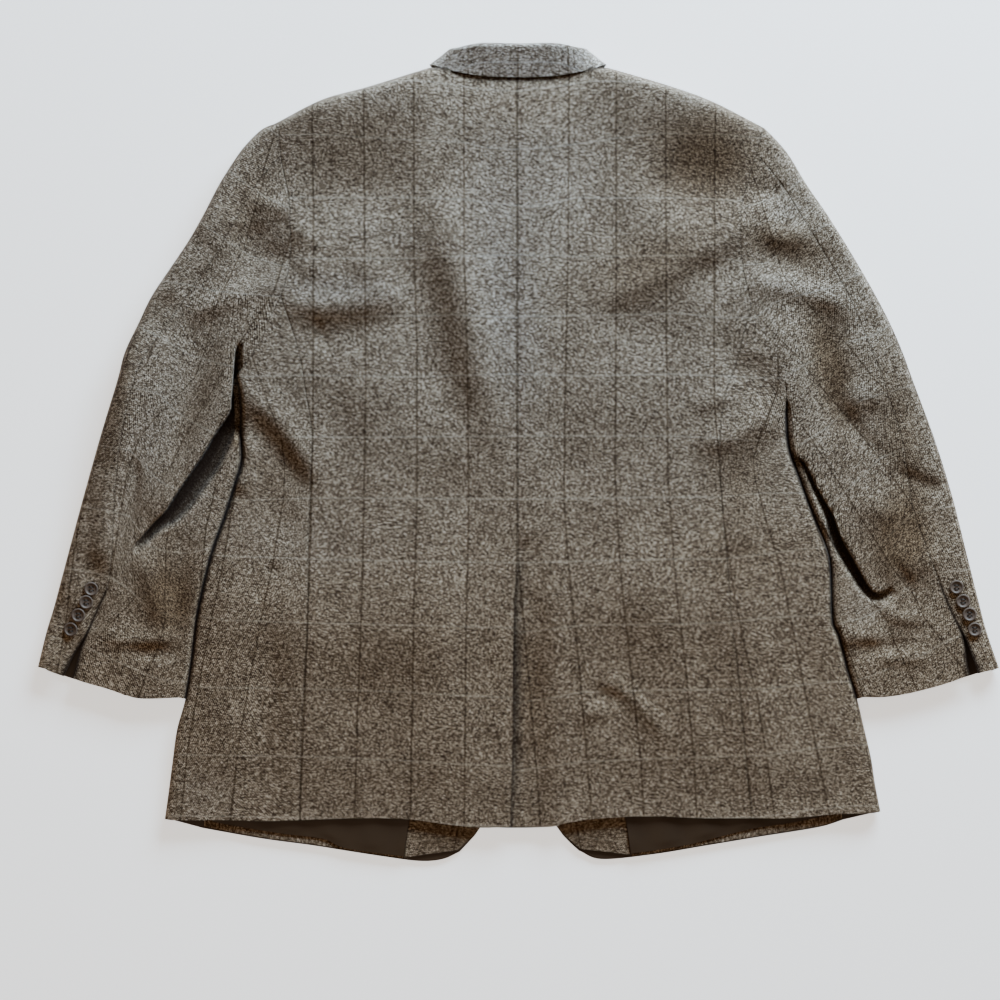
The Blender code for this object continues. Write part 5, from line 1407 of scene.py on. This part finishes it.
def wedge_share(share):
    """How far the slit is open at each row of a sleeve: 0 above the wedge and 1 at the cuff."""
    return smooth_step((share - WEDGE_START) / (1.0 - WEDGE_START))[:, None]


def slit_shade(outer, share):
    """The painted shade in the slit at the cuff: a bell of the distance from it, which starts above the
    buttons and widens to the cuff."""
    started = smooth_step((share - SLIT_START) / SLIT_START_EASE)[:, None]
    reach = SLIT_REACH + SLIT_WIDEN * wedge_share(share) ** 4
    return started * np.exp(-((from_border(outer, "column first") / reach) ** 2))


def fold_parts(plan, side):
    """For each point, how far it lies beyond the deep fold's edge, the width of the gap there, how much
    of the fold is left there, and how much of the gap is open: a soft drop and a soft rise."""
    distance, gap, strength = fold_distance(plan, DEEP_FOLDS[side])
    drop = smooth_step((distance + FOLD_LIP) / (FOLD_LIP + FOLD_FOOT))
    rise = smooth_step((distance - gap + FOLD_FOOT) / FOLD_RISE)
    return distance, gap, strength, drop * (1.0 - rise) * strength


def sleeve_height(side):
    """The height of the outside of one side's sleeve, as a function of the plan."""
    def height(plan):
        """The upper layer's height, let down to the deep fold's floor where its gap is open."""
        z = upper_height(plan, FOLDS)
        opened = fold_parts(plan, side)[3]
        return z + (np.minimum(FOLD_FLOOR, z) - z) * opened
    return height


def fold_shade(plan, side):
    """The painted shade inside the deep fold: darkest under its lip."""
    distance, gap, _, opened = fold_parts(plan, side)
    fade = smooth_step((distance - FOLD_BLACK * gap) / (FOLD_BLACK_EASE * gap))
    return opened * (1.0 - (1.0 - FOLD_DIM) * fade)


def overhung(plan, side):
    """Moves the fold's lip out over its gap: a bell of the distance from its edge."""
    step = 1.0
    distance, _, strength, _ = fold_parts(plan, side)
    along_x = (fold_parts(plan + [step, 0.0], side)[0] - distance) / step
    along_y = (fold_parts(plan + [0.0, step], side)[0] - distance) / step
    push = FOLD_OVERHANG * strength * np.exp(-(((distance + FOLD_LIP) / FOLD_LIP_WIDTH) ** 2))
    away = np.dstack([along_x, along_y])
    away = away / np.maximum(np.linalg.norm(away, axis=2, keepdims=True), 0.5)
    return plan + push[..., None] * away


def lapel(side):
    """The lapel, turned out along its roll line under the front."""
    lines = OUTLINES[side]
    share = np.linspace(0.0, 1.0, LAPEL_CELLS[0] + 1)
    roll = smooth_line(lines["lapel_roll"], share)
    plan = ruled(roll, smooth_line(lines["lapel_edge"], share), LAPEL_CELLS[1])
    floor = right_front_base(plan) if side == "right" else np.zeros(plan.shape[:2])
    outer, inner = lower_layer(plan, floor)
    cloth_piece(f"lapel_{side}", outer, inner, plain_places(outer))


def collar():
    """Stand and fall in one band, folded along the top and carried round the neck to both fronts."""
    table = np.array(COLLAR, float)
    mirrored = table[:0:-1].copy()
    mirrored[:, [0, 3, 6]] *= -1.0
    stations = smooth_line(np.vstack([table[::-1], mirrored[::-1]]), np.linspace(0.0, 1.0, COLLAR_FINE + 1))
    seam = stations[:, 0:3]
    stand_way = unit(stations[:, 3:6])
    outside = unit(stations[:, 6:9] - np.sum(stations[:, 6:9] * stand_way, axis=1)[:, None] * stand_way)
    stand, fall, apart = stations[:, 9], stations[:, 10], stations[:, 11]
    radius = apart / 2.0
    turns = np.linspace(-math.pi / 2, math.pi / 2, TURN_CELLS + 1)[None, :]
    stand_share = np.linspace(0.0, 1.0, STAND_CELLS + 1)[None, :-1]
    fall_share = np.linspace(0.0, 1.0, FALL_CELLS + 1)[None, 1:]

    def band(offset):
        """The band's section, moved out of its middle by the offset."""
        arc = radius[:, None] + offset
        fold_q = (stand - radius)[:, None] + arc * np.cos(turns)
        fold_p = radius[:, None] + arc * np.sin(turns)
        stand_q = (stand - radius)[:, None] * stand_share
        fall_q = (stand - radius)[:, None] - fall[:, None] * fall_share
        q = np.concatenate([stand_q, fold_q, fall_q], axis=1)
        p = np.concatenate([np.full(stand_q.shape, -offset), fold_p,
                            np.broadcast_to((apart + offset)[:, None], fall_q.shape)], axis=1)
        return seam[:, None] + q[..., None] * stand_way[:, None] + p[..., None] * outside[:, None]

    outer, inner = band(WALL / 2), band(-WALL / 2)
    across, along = np.moveaxis(plain_places(outer), 2, 0)
    cloth = np.dstack([along - along[len(along) // 2], across + COLLAR_BAR])
    cloth_piece("collar", outer, inner, cloth, light_and_shade=COLLAR_PAINTED_LIGHT)


def hem_strips(side):
    """What shows inside the front below the back's hem: facing, lining and the turned-up hem."""
    lines = OUTLINES[side]
    facing_line = lines["facing_inner"]
    share = np.linspace(0.0, 1.0, FACING_CELLS[0] + 1)
    plan = ruled(smooth_line(facing_line, share), smooth_line(lines["facing_edge"], share), FACING_CELLS[1])
    base = FRONT_FLOORS[side](plan) + LAYER
    outer, inner = with_height(plan, base + HEM_WALL), with_height(plan, base)
    cloth_piece(f"facing_{side}", outer, inner, plain_places(outer))

    share = np.linspace(0.0, 1.0, LINING_CELLS[0] + 1)
    foot = smooth_line(lines["lining_foot"], share)
    head = foot.copy()
    head[:, 1] = facing_line[0][1]
    inset = SEAM_GAP * SIGNS[side]
    head[-1, 0] = facing_line[0][0] + inset
    down = np.linspace(0.0, 1.0, LINING_CELLS[1] + 1)
    plan = ruled(head, foot, LINING_CELLS[1])
    plan[-1, :, 0] = smooth_line(facing_line, down)[:, 0] + inset
    base = LAYER + HEM_WALL + SEAM_GAP
    wave = np.sin(np.abs(plan[..., 0]) / LINING_FOLD + LINING_LEAN * plan[..., 1])
    soft = LINING_EASE * (0.5 + 0.5 * wave) * smooth_step(LINING_EASE_END * (1.0 - down))
    outer, inner = with_height(plan, base + LINING_WALL + soft), with_height(plan, base + soft)
    cloth_piece(f"lining_{side}", outer, inner, plain_places(outer), "lining")

    edge = smooth_line(lines["hem_edge"], np.linspace(0.0, 1.0, HEM_CELLS[0] + 1))
    top = edge + [0.0, HEM_DEPTH]
    top[-1, 0] = edge[-1, 0] = edge[-1, 0] + inset
    plan = ruled(top, edge, HEM_CELLS[1])
    outer, inner = with_height(plan, LAYER + HEM_WALL), with_height(plan, LAYER)
    cloth_piece(f"hem_{side}", outer, inner, plain_places(outer))


def button_mesh(radius, thick):
    """Points and faces of a turned button with four sewing holes: a profile carried round, with the height
    let down inside each hole, and the painted shade inside them."""
    profile = np.array(BUTTON_PROFILE)
    steps = np.linspace(0.0, 1.0, BUTTON_RINGS)
    reach, level = smooth_profile(profile, steps)
    angles = np.linspace(0.0, 2 * math.pi, BUTTON_ANGLES, endpoint=False)
    x = reach[:, None] * np.cos(angles)
    y = reach[:, None] * np.sin(angles)
    z = np.broadcast_to(level[:, None], x.shape).copy()
    on_top = steps[:, None] < BUTTON_TOP_SHARE
    shade = np.zeros(x.shape)
    for hole_x in (-1.0, 1.0):
        for hole_y in (-1.0, 1.0):
            away = np.hypot(x - hole_x * HOLE_OFFSET, y - hole_y * HOLE_OFFSET)
            inside = on_top * (1.0 - smooth_step((away / HOLE_RADIUS - 1.0) / HOLE_EASE + 0.5))
            z -= HOLE_DEPTH * inside
            shade = np.maximum(shade, inside)
    points = np.dstack([x * radius, y * radius, z * thick]).reshape(-1, 3)
    return points, ring_faces(*x.shape), shade.ravel()


def ring_faces(rows, columns):
    """Corners of the faces between rings of points, where each ring closes on itself."""
    grid = np.arange(rows * columns).reshape(rows, columns)
    after = np.roll(grid, -1, axis=1)
    return np.stack([grid[:-1], grid[1:], after[1:], after[:-1]], axis=2).reshape(-1, 4)


def smooth_profile(profile, shares):
    """Reach and height at shares of the length of a broken line."""
    steps = np.linalg.norm(np.diff(profile, axis=0), axis=1)
    length = np.concatenate([[0.0], np.cumsum(steps)]) / steps.sum()
    return np.interp(shares, length, profile[:, 0]), np.interp(shares, length, profile[:, 1])


def turned_to(points, facing):
    """Points whose own up is turned to the facing direction."""
    up = unit(facing)
    side_way = unit(np.cross([0.0, 1.0, 0.0], up))
    other = np.cross(up, side_way)
    return points @ np.array([side_way, other, up])


def thread_mesh(radius, thick):
    """Two stitches across the holes and the shank under the button: half rings and a column."""
    angle = np.linspace(0.0, math.pi, THREAD_STEPS)
    ring = np.linspace(0.0, 2 * math.pi, THREAD_SIDES, endpoint=False)
    span = HOLE_OFFSET * radius
    rise = THREAD_FOOT * thick + THREAD_RISE * thick * np.sin(angle)
    parts = []
    for y in (-span, span):
        path = np.stack([-span * np.cos(angle), np.full(THREAD_STEPS, y), rise], axis=1)
        parts.append(tube(path, THREAD_R, ring))
    column = np.array([[0.0, 0.0, -SHANK_DEPTH], [0.0, 0.0, SHANK_TOP * thick]])
    parts.append(tube(column, SHANK_R, ring))
    points = np.vstack([part[0] for part in parts])
    starts = np.cumsum([0] + [len(part[0]) for part in parts[:-1]])
    faces = np.vstack([part[1] + start for part, start in zip(parts, starts)])
    return points, faces, np.zeros(len(points))


def tube(path, radius, ring):
    """A round tube along a path, closed at both ends by drawing the last rings in to a point."""
    run = unit(np.gradient(path, axis=0))
    askew = [0.3, 1.0, 0.2]  # a direction that no part of a path runs in
    side_way = unit(np.cross(run, askew))
    other = np.cross(run, side_way)
    ends_twice = [0, *range(len(path)), -1]
    reach = np.full(len(path) + 2, radius)
    reach[[0, -1]] = TUBE_END * radius
    around = np.cos(ring)[:, None] * side_way[ends_twice, None]
    around = around + np.sin(ring)[:, None] * other[ends_twice, None]
    points = (path[ends_twice, None] + reach[:, None, None] * around).reshape(-1, 3)
    return points, ring_faces(len(reach), len(ring))


def button(name, radius, thick, place, facing):
    """A button in place, with its thread. It lies on its place and looks along facing."""
    for label, (points, faces, shade), finish in (
        (f"{name}_horn", button_mesh(radius, thick), "button"),
        (f"{name}_thread", thread_mesh(radius, thick), "thread"),
    ):
        verts = turned_to(points, facing) + np.array(place)
        if volume(verts, faces) < 0:
            faces = faces[:, ::-1]
        piece = put(label, verts, faces, [FINISHES[finish]])
        add_values(piece, "shade", shade)
        if finish == "button":
            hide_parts(name)


def buttons():
    """Four on each cuff, and two on the right front that hold the left front closed below it."""
    for side, places_on in CUFF_BUTTONS.items():
        height = sleeve_height(side)
        for number, place in enumerate(places_on, 1):
            around = np.array([[place, (place[0] + 1, place[1]), (place[0], place[1] + 1)]], float)
            heights = height(around)[0]
            facing = (heights[0] - heights[1], heights[0] - heights[2], 1.0)
            slope = math.hypot(facing[0], facing[1])
            lift = CUFF_BUTTON_LIFT + CUFF_BUTTON_TILT * CUFF_BUTTON_R * slope
            button(f"cuff_button_{side}_{number}", CUFF_BUTTON_R, CUFF_BUTTON_THICK,
                   (*place, float(heights[0]) + lift), facing)
    for number, name in enumerate(("top", "lower")):
        y = TOP_BUTTON_Y - number * FRONT_BUTTON_SPACING
        button(f"front_button_{name}", FRONT_BUTTON_R, FRONT_BUTTON_THICK,
               (0.0, y, FRONT_BUTTON_THICK), (0.0, 0.0, -1.0))


class Wire:
    """One output of a material's nodes. Sums, products and steps of wires become Math nodes."""

    def __init__(self, finish, socket):
        """Keeps the finish that the nodes belong to, and the output's socket."""
        self.finish = finish
        self.socket = socket

    def math(self, operation, *parts):
        """One Math node of the given parts in their order, each a wire or a number."""
        return self.finish.node("ShaderNodeMath", {"operation": operation}, dict(enumerate(parts)))

    # Python's own operators and their reflected forms, each as one Math node
    def __add__(self, other):
        return self.math("ADD", self, other)

    def __sub__(self, other):
        return self.math("SUBTRACT", self, other)

    def __rsub__(self, other):
        return self.math("SUBTRACT", other, self)

    def __mul__(self, other):
        return self.math("MULTIPLY", self, other)

    def __truediv__(self, other):
        return self.math("DIVIDE", self, other)

    def __rtruediv__(self, other):
        return self.math("DIVIDE", other, self)

    __radd__ = __add__
    __rmul__ = __mul__

    def whole(self):
        """The whole number below."""
        return self.math("FLOOR", self)

    def rest(self):
        """What is left above the whole number below."""
        return self.math("FRACT", self)

    def size(self):
        """Without its sign."""
        return self.math("ABSOLUTE", self)

    def above(self):
        """The value where it is above 0, else 0."""
        return self.math("MAXIMUM", self, 0.0)

    def soft_step(self, low, high):
        """0 at low and 1 at high, with a soft rise."""
        return self.finish.node(
            "ShaderNodeMapRange", {"interpolation_type": "SMOOTHSTEP"},
            {"Value": self, "From Min": low, "From Max": high})


class Finish:
    """A material with a Principled shader, built up from nodes."""

    def __init__(self, name):
        """A new material of the given name, and its shader."""
        self.material = bpy.data.materials.new(name)
        self.material.use_nodes = True
        self.tree = self.material.node_tree
        self.shader = self.tree.nodes["Principled BSDF"]

    def fill(self, socket, value):
        """Gives a socket a number or a colour, or links a wire to it."""
        if isinstance(value, Wire):
            self.tree.links.new(value.socket, socket)
        else:
            socket.default_value = value

    def node(self, kind, settings=None, sockets=None, output=0):
        """A node of the given type: its settings first, then values or wires for its sockets."""
        node = self.tree.nodes.new(kind)
        for name, value in (settings or {}).items():
            setattr(node, name, value)
        for name, value in (sockets or {}).items():
            self.fill(node.inputs[name], value)
        return Wire(self, node.outputs[output])

    def noise(self, at, scale, detail=2.0):
        """A noise over the given coordinates."""
        return self.node("ShaderNodeTexNoise", sockets={"Vector": at, "Scale": scale, "Detail": detail})

    def scattered(self, across, down):
        """A random value for each cell of two counts, where a cell is one whole number of each."""
        cell = self.node("ShaderNodeCombineXYZ", sockets={0: across.whole(), 1: down.whole()})
        return self.node("ShaderNodeTexWhiteNoise", {"noise_dimensions": "2D"}, {"Vector": cell})

    def part(self, at, number):
        """One part of a vector: 0 for x and 1 for y."""
        return self.node("ShaderNodeSeparateXYZ", sockets={0: at}, output=number)

    def own(self, name):
        """The value of the given name that a piece holds at each point."""
        return self.node("ShaderNodeAttribute", {"attribute_name": name}, output=2)

    def mixed(self, share, first, second, blend="MIX"):
        """A mix of two colours, each a wire or four numbers."""
        return self.node(
            "ShaderNodeMix", {"data_type": "RGBA", "blend_type": blend},
            {0: share, 6: first, 7: second}, output=2)

    def set(self, **sockets):
        """Values or wires for the Principled shader's sockets, with _ for each space."""
        for name, value in sockets.items():
            self.fill(self.shader.inputs[name.replace("_", " ")], value)
        return self


def check_line(at, spacing, width):
    """1 on the lines of the check and 0 beside them: a soft step of the distance from the nearest."""
    away = ((at / spacing + 0.5).rest() - 0.5).size() * spacing
    return 1.0 - away.soft_step(width * LINE_EDGE[0], width * LINE_EDGE[1])


def tweed(name):
    """Woollen tweed: yarns of several browns in a twill, a dark stripe and a light bar."""
    look = Finish(name)
    cloth = look.node("ShaderNodeUVMap", {"uv_map": "cloth"})
    across = look.part(cloth, 0) * MM_PER_METRE
    down = look.part(cloth, 1) * MM_PER_METRE
    drift = (look.noise(cloth, WAVER_SCALE) - 0.5) * LINE_WAVER

    # Yarns: a flecked value for each small cell of the weave, and three noises from small to broad
    fleck = look.scattered((across + drift) / YARN_ACROSS, (down - drift) / YARN_DOWN)
    fine = look.noise(cloth, FINE_SCALE, 1.0)
    slub = look.noise(cloth, SLUB_SCALE)
    patch = look.noise(cloth, PATCH_SCALE, 3.0)

    # Twill: slanting lines, each broken into dashes
    line = (across + drift * TWILL_WAVER - down * TWILL_STEEP) / TWILL_PITCH
    twill = (line.rest() - 0.5).size() * 2.0
    dash = look.scattered(line, down / DASH_DOWN)
    tone = (fleck - 0.5) * FLECK + (dash - 0.5) * DASH + (slub - 0.5) * SLUB
    tone = tone + (fine - 0.5) * FINE + (twill - 0.5) * TWILL + (patch - 0.5) * PATCH + 0.5

    ramp = look.node("ShaderNodeValToRGB", sockets={0: tone})
    stops = ramp.socket.node.color_ramp.elements
    for number, (at, yarn) in enumerate(YARN_COLOURS):
        stop = stops[number] if number < 2 else stops.new(at)
        stop.position = at
        stop.color = (*yarn, 1.0)

    # The check
    stripe = check_line(across + drift, STRIPE_SPACING, STRIPE_WIDTH)
    bar = check_line(down + drift, BAR_SPACING, BAR_WIDTH)
    broken = (fleck * BREAK_FLECK + slub * BREAK_SLUB).soft_step(*BREAK_EDGE)
    stripe_share = stripe * (STRIPE_UNBROKEN + broken * (1.0 - STRIPE_UNBROKEN))
    bar_share = bar * (BAR_UNBROKEN + broken * (1.0 - BAR_UNBROKEN)) * BAR_SHARE
    striped = look.mixed(stripe_share, ramp, STRIPE_TINT, "MULTIPLY")
    checked = look.mixed(bar_share, striped, BAR_TINT)

    # Painted shade, the lower part's warmer tint of painted shade, and the broad browner patches of painted
    # shade and greyer patches of painted light
    dark = look.mixed(look.own("shade") * DEEP_SHADE, checked, PAINTED_SHADE_COLOUR)
    north = look.part(look.node("ShaderNodeTexCoord", output=3), 1).soft_step(*LOWER_SHADE_EDGE)
    warm = look.mixed(1.0 - north, dark, LOWER_SHADE_TINT, "MULTIPLY")
    light_and_shade = look.own("light_and_shade")
    brown = look.mixed((0.0 - light_and_shade).above() * SHADE_BROWN_SHARE, warm, SHADE_BROWNER, "MULTIPLY")
    toned = look.mixed(light_and_shade.above() * LIGHT_GREY_SHARE, brown, LIGHT_GREYER, "MULTIPLY")

    relief = twill * RELIEF["twill"] + fleck * RELIEF["fleck"] + slub * RELIEF["slub"]
    relief = relief + stripe * RELIEF["stripe"] + bar * RELIEF["bar"]
    bump = look.node("ShaderNodeBump", sockets={
        "Strength": BUMP_STRENGTH, "Distance": BUMP_DISTANCE, "Height": relief})
    return look.set(
        Base_Color=toned, Roughness=0.92, Normal=bump, Specular_IOR_Level=0.12,
        Sheen_Weight=SHEEN, Sheen_Roughness=0.55, Sheen_Tint=SHEEN_TINT).material


def lining(name):
    """Dark satin lining: one noise for its weave, a broad one for its unevenness, a soft shine."""
    look = Finish(name)
    cloth = look.node("ShaderNodeUVMap", {"uv_map": "cloth"})
    weave = look.noise(cloth, 900.0)
    soft = look.noise(cloth, 30.0)
    colour = look.mixed(weave * 0.6 + soft * 0.4, *SATIN_COLOURS)
    bump = look.node("ShaderNodeBump", sockets={
        "Strength": BUMP_STRENGTH, "Distance": BUMP_DISTANCE, "Height": soft})
    return look.set(Base_Color=colour, Roughness=0.45, Normal=bump).material


def button_finish(name):
    """Dark brown horn: polished, with faint streaks, and painted shade in its holes."""
    look = Finish(name)
    streak = look.noise(look.node("ShaderNodeTexCoord", output=3), 260.0, 3.0)
    dark = look.mixed(look.own("shade"), look.mixed(streak, *HORN_COLOURS), HOLE_SHADE_COLOUR)
    return look.set(Base_Color=dark, Roughness=0.5, Specular_IOR_Level=0.3).material


def thread_finish(name):
    """Dark brown sewing thread."""
    look = Finish(name)
    strand = look.noise(look.node("ShaderNodeTexCoord", output=3), 2500.0)
    return look.set(Base_Color=look.mixed(strand, *THREAD_COLOURS), Roughness=0.7).material


def floor_finish(name):
    """Plain white paper."""
    look = Finish(name)
    return look.set(Base_Color=PAPER_COLOUR, Roughness=0.9, Specular_IOR_Level=0.1,
                    Emission_Color=PAPER_GLOW, Emission_Strength=FLOOR_GLOW).material


def area_light(name, place, target, size, power, colour):
    """A soft rectangular light that looks at a point."""
    light = bpy.data.lights.new(name, "AREA")
    light.shape = "RECTANGLE"
    light.size, light.size_y = size
    light.energy = power
    light.color = colour
    lamp = bpy.data.objects.new(name, light)
    lamp.location = place
    lamp.rotation_euler = (Vector(target) - Vector(place)).to_track_quat("-Z", "Y").to_euler()
    bpy.context.scene.collection.objects.link(lamp)


for spare in ("Cube", "Light", "Camera"):
    if spare in bpy.data.objects:
        bpy.data.objects.remove(bpy.data.objects[spare], do_unlink=True)

FINISHES = {
    "tweed": tweed("wool_tweed"),
    "lining": lining("satin_lining"),
    "button": button_finish("horn_button"),
    "thread": thread_finish("button_thread"),
}

for side in ("left", "right"):
    back_panel(side)
    side_panel(side)
    front_panel(side)
    lapel(side)
    sleeve(side)
    hem_strips(side)
collar()
buttons()

bpy.ops.mesh.primitive_plane_add(size=FLOOR_SIZE, location=(0.0, 0.0, FLOOR_Z))
floor = bpy.context.object
floor.name = "floor"
floor.data.materials.append(floor_finish("white_paper"))

world = bpy.data.worlds.new("studio")
bpy.context.scene.world = world
world.use_nodes = True
world.node_tree.nodes["Background"].inputs["Color"].default_value = (*FILL_COLOUR, 1.0)
world.node_tree.nodes["Background"].inputs["Strength"].default_value = FILL_STRENGTH
for light in LIGHTS:
    area_light(*light)

lens = bpy.data.cameras.new("camera")
lens.lens = CAMERA_LENS
lens.sensor_width = CAMERA_SENSOR
lens.clip_end = 2.0 * CAMERA_HEIGHT
camera = bpy.data.objects.new("camera", lens)
camera.location = (CAMERA_X, CAMERA_Y, CAMERA_HEIGHT)
bpy.context.scene.collection.objects.link(camera)
bpy.context.scene.camera = camera
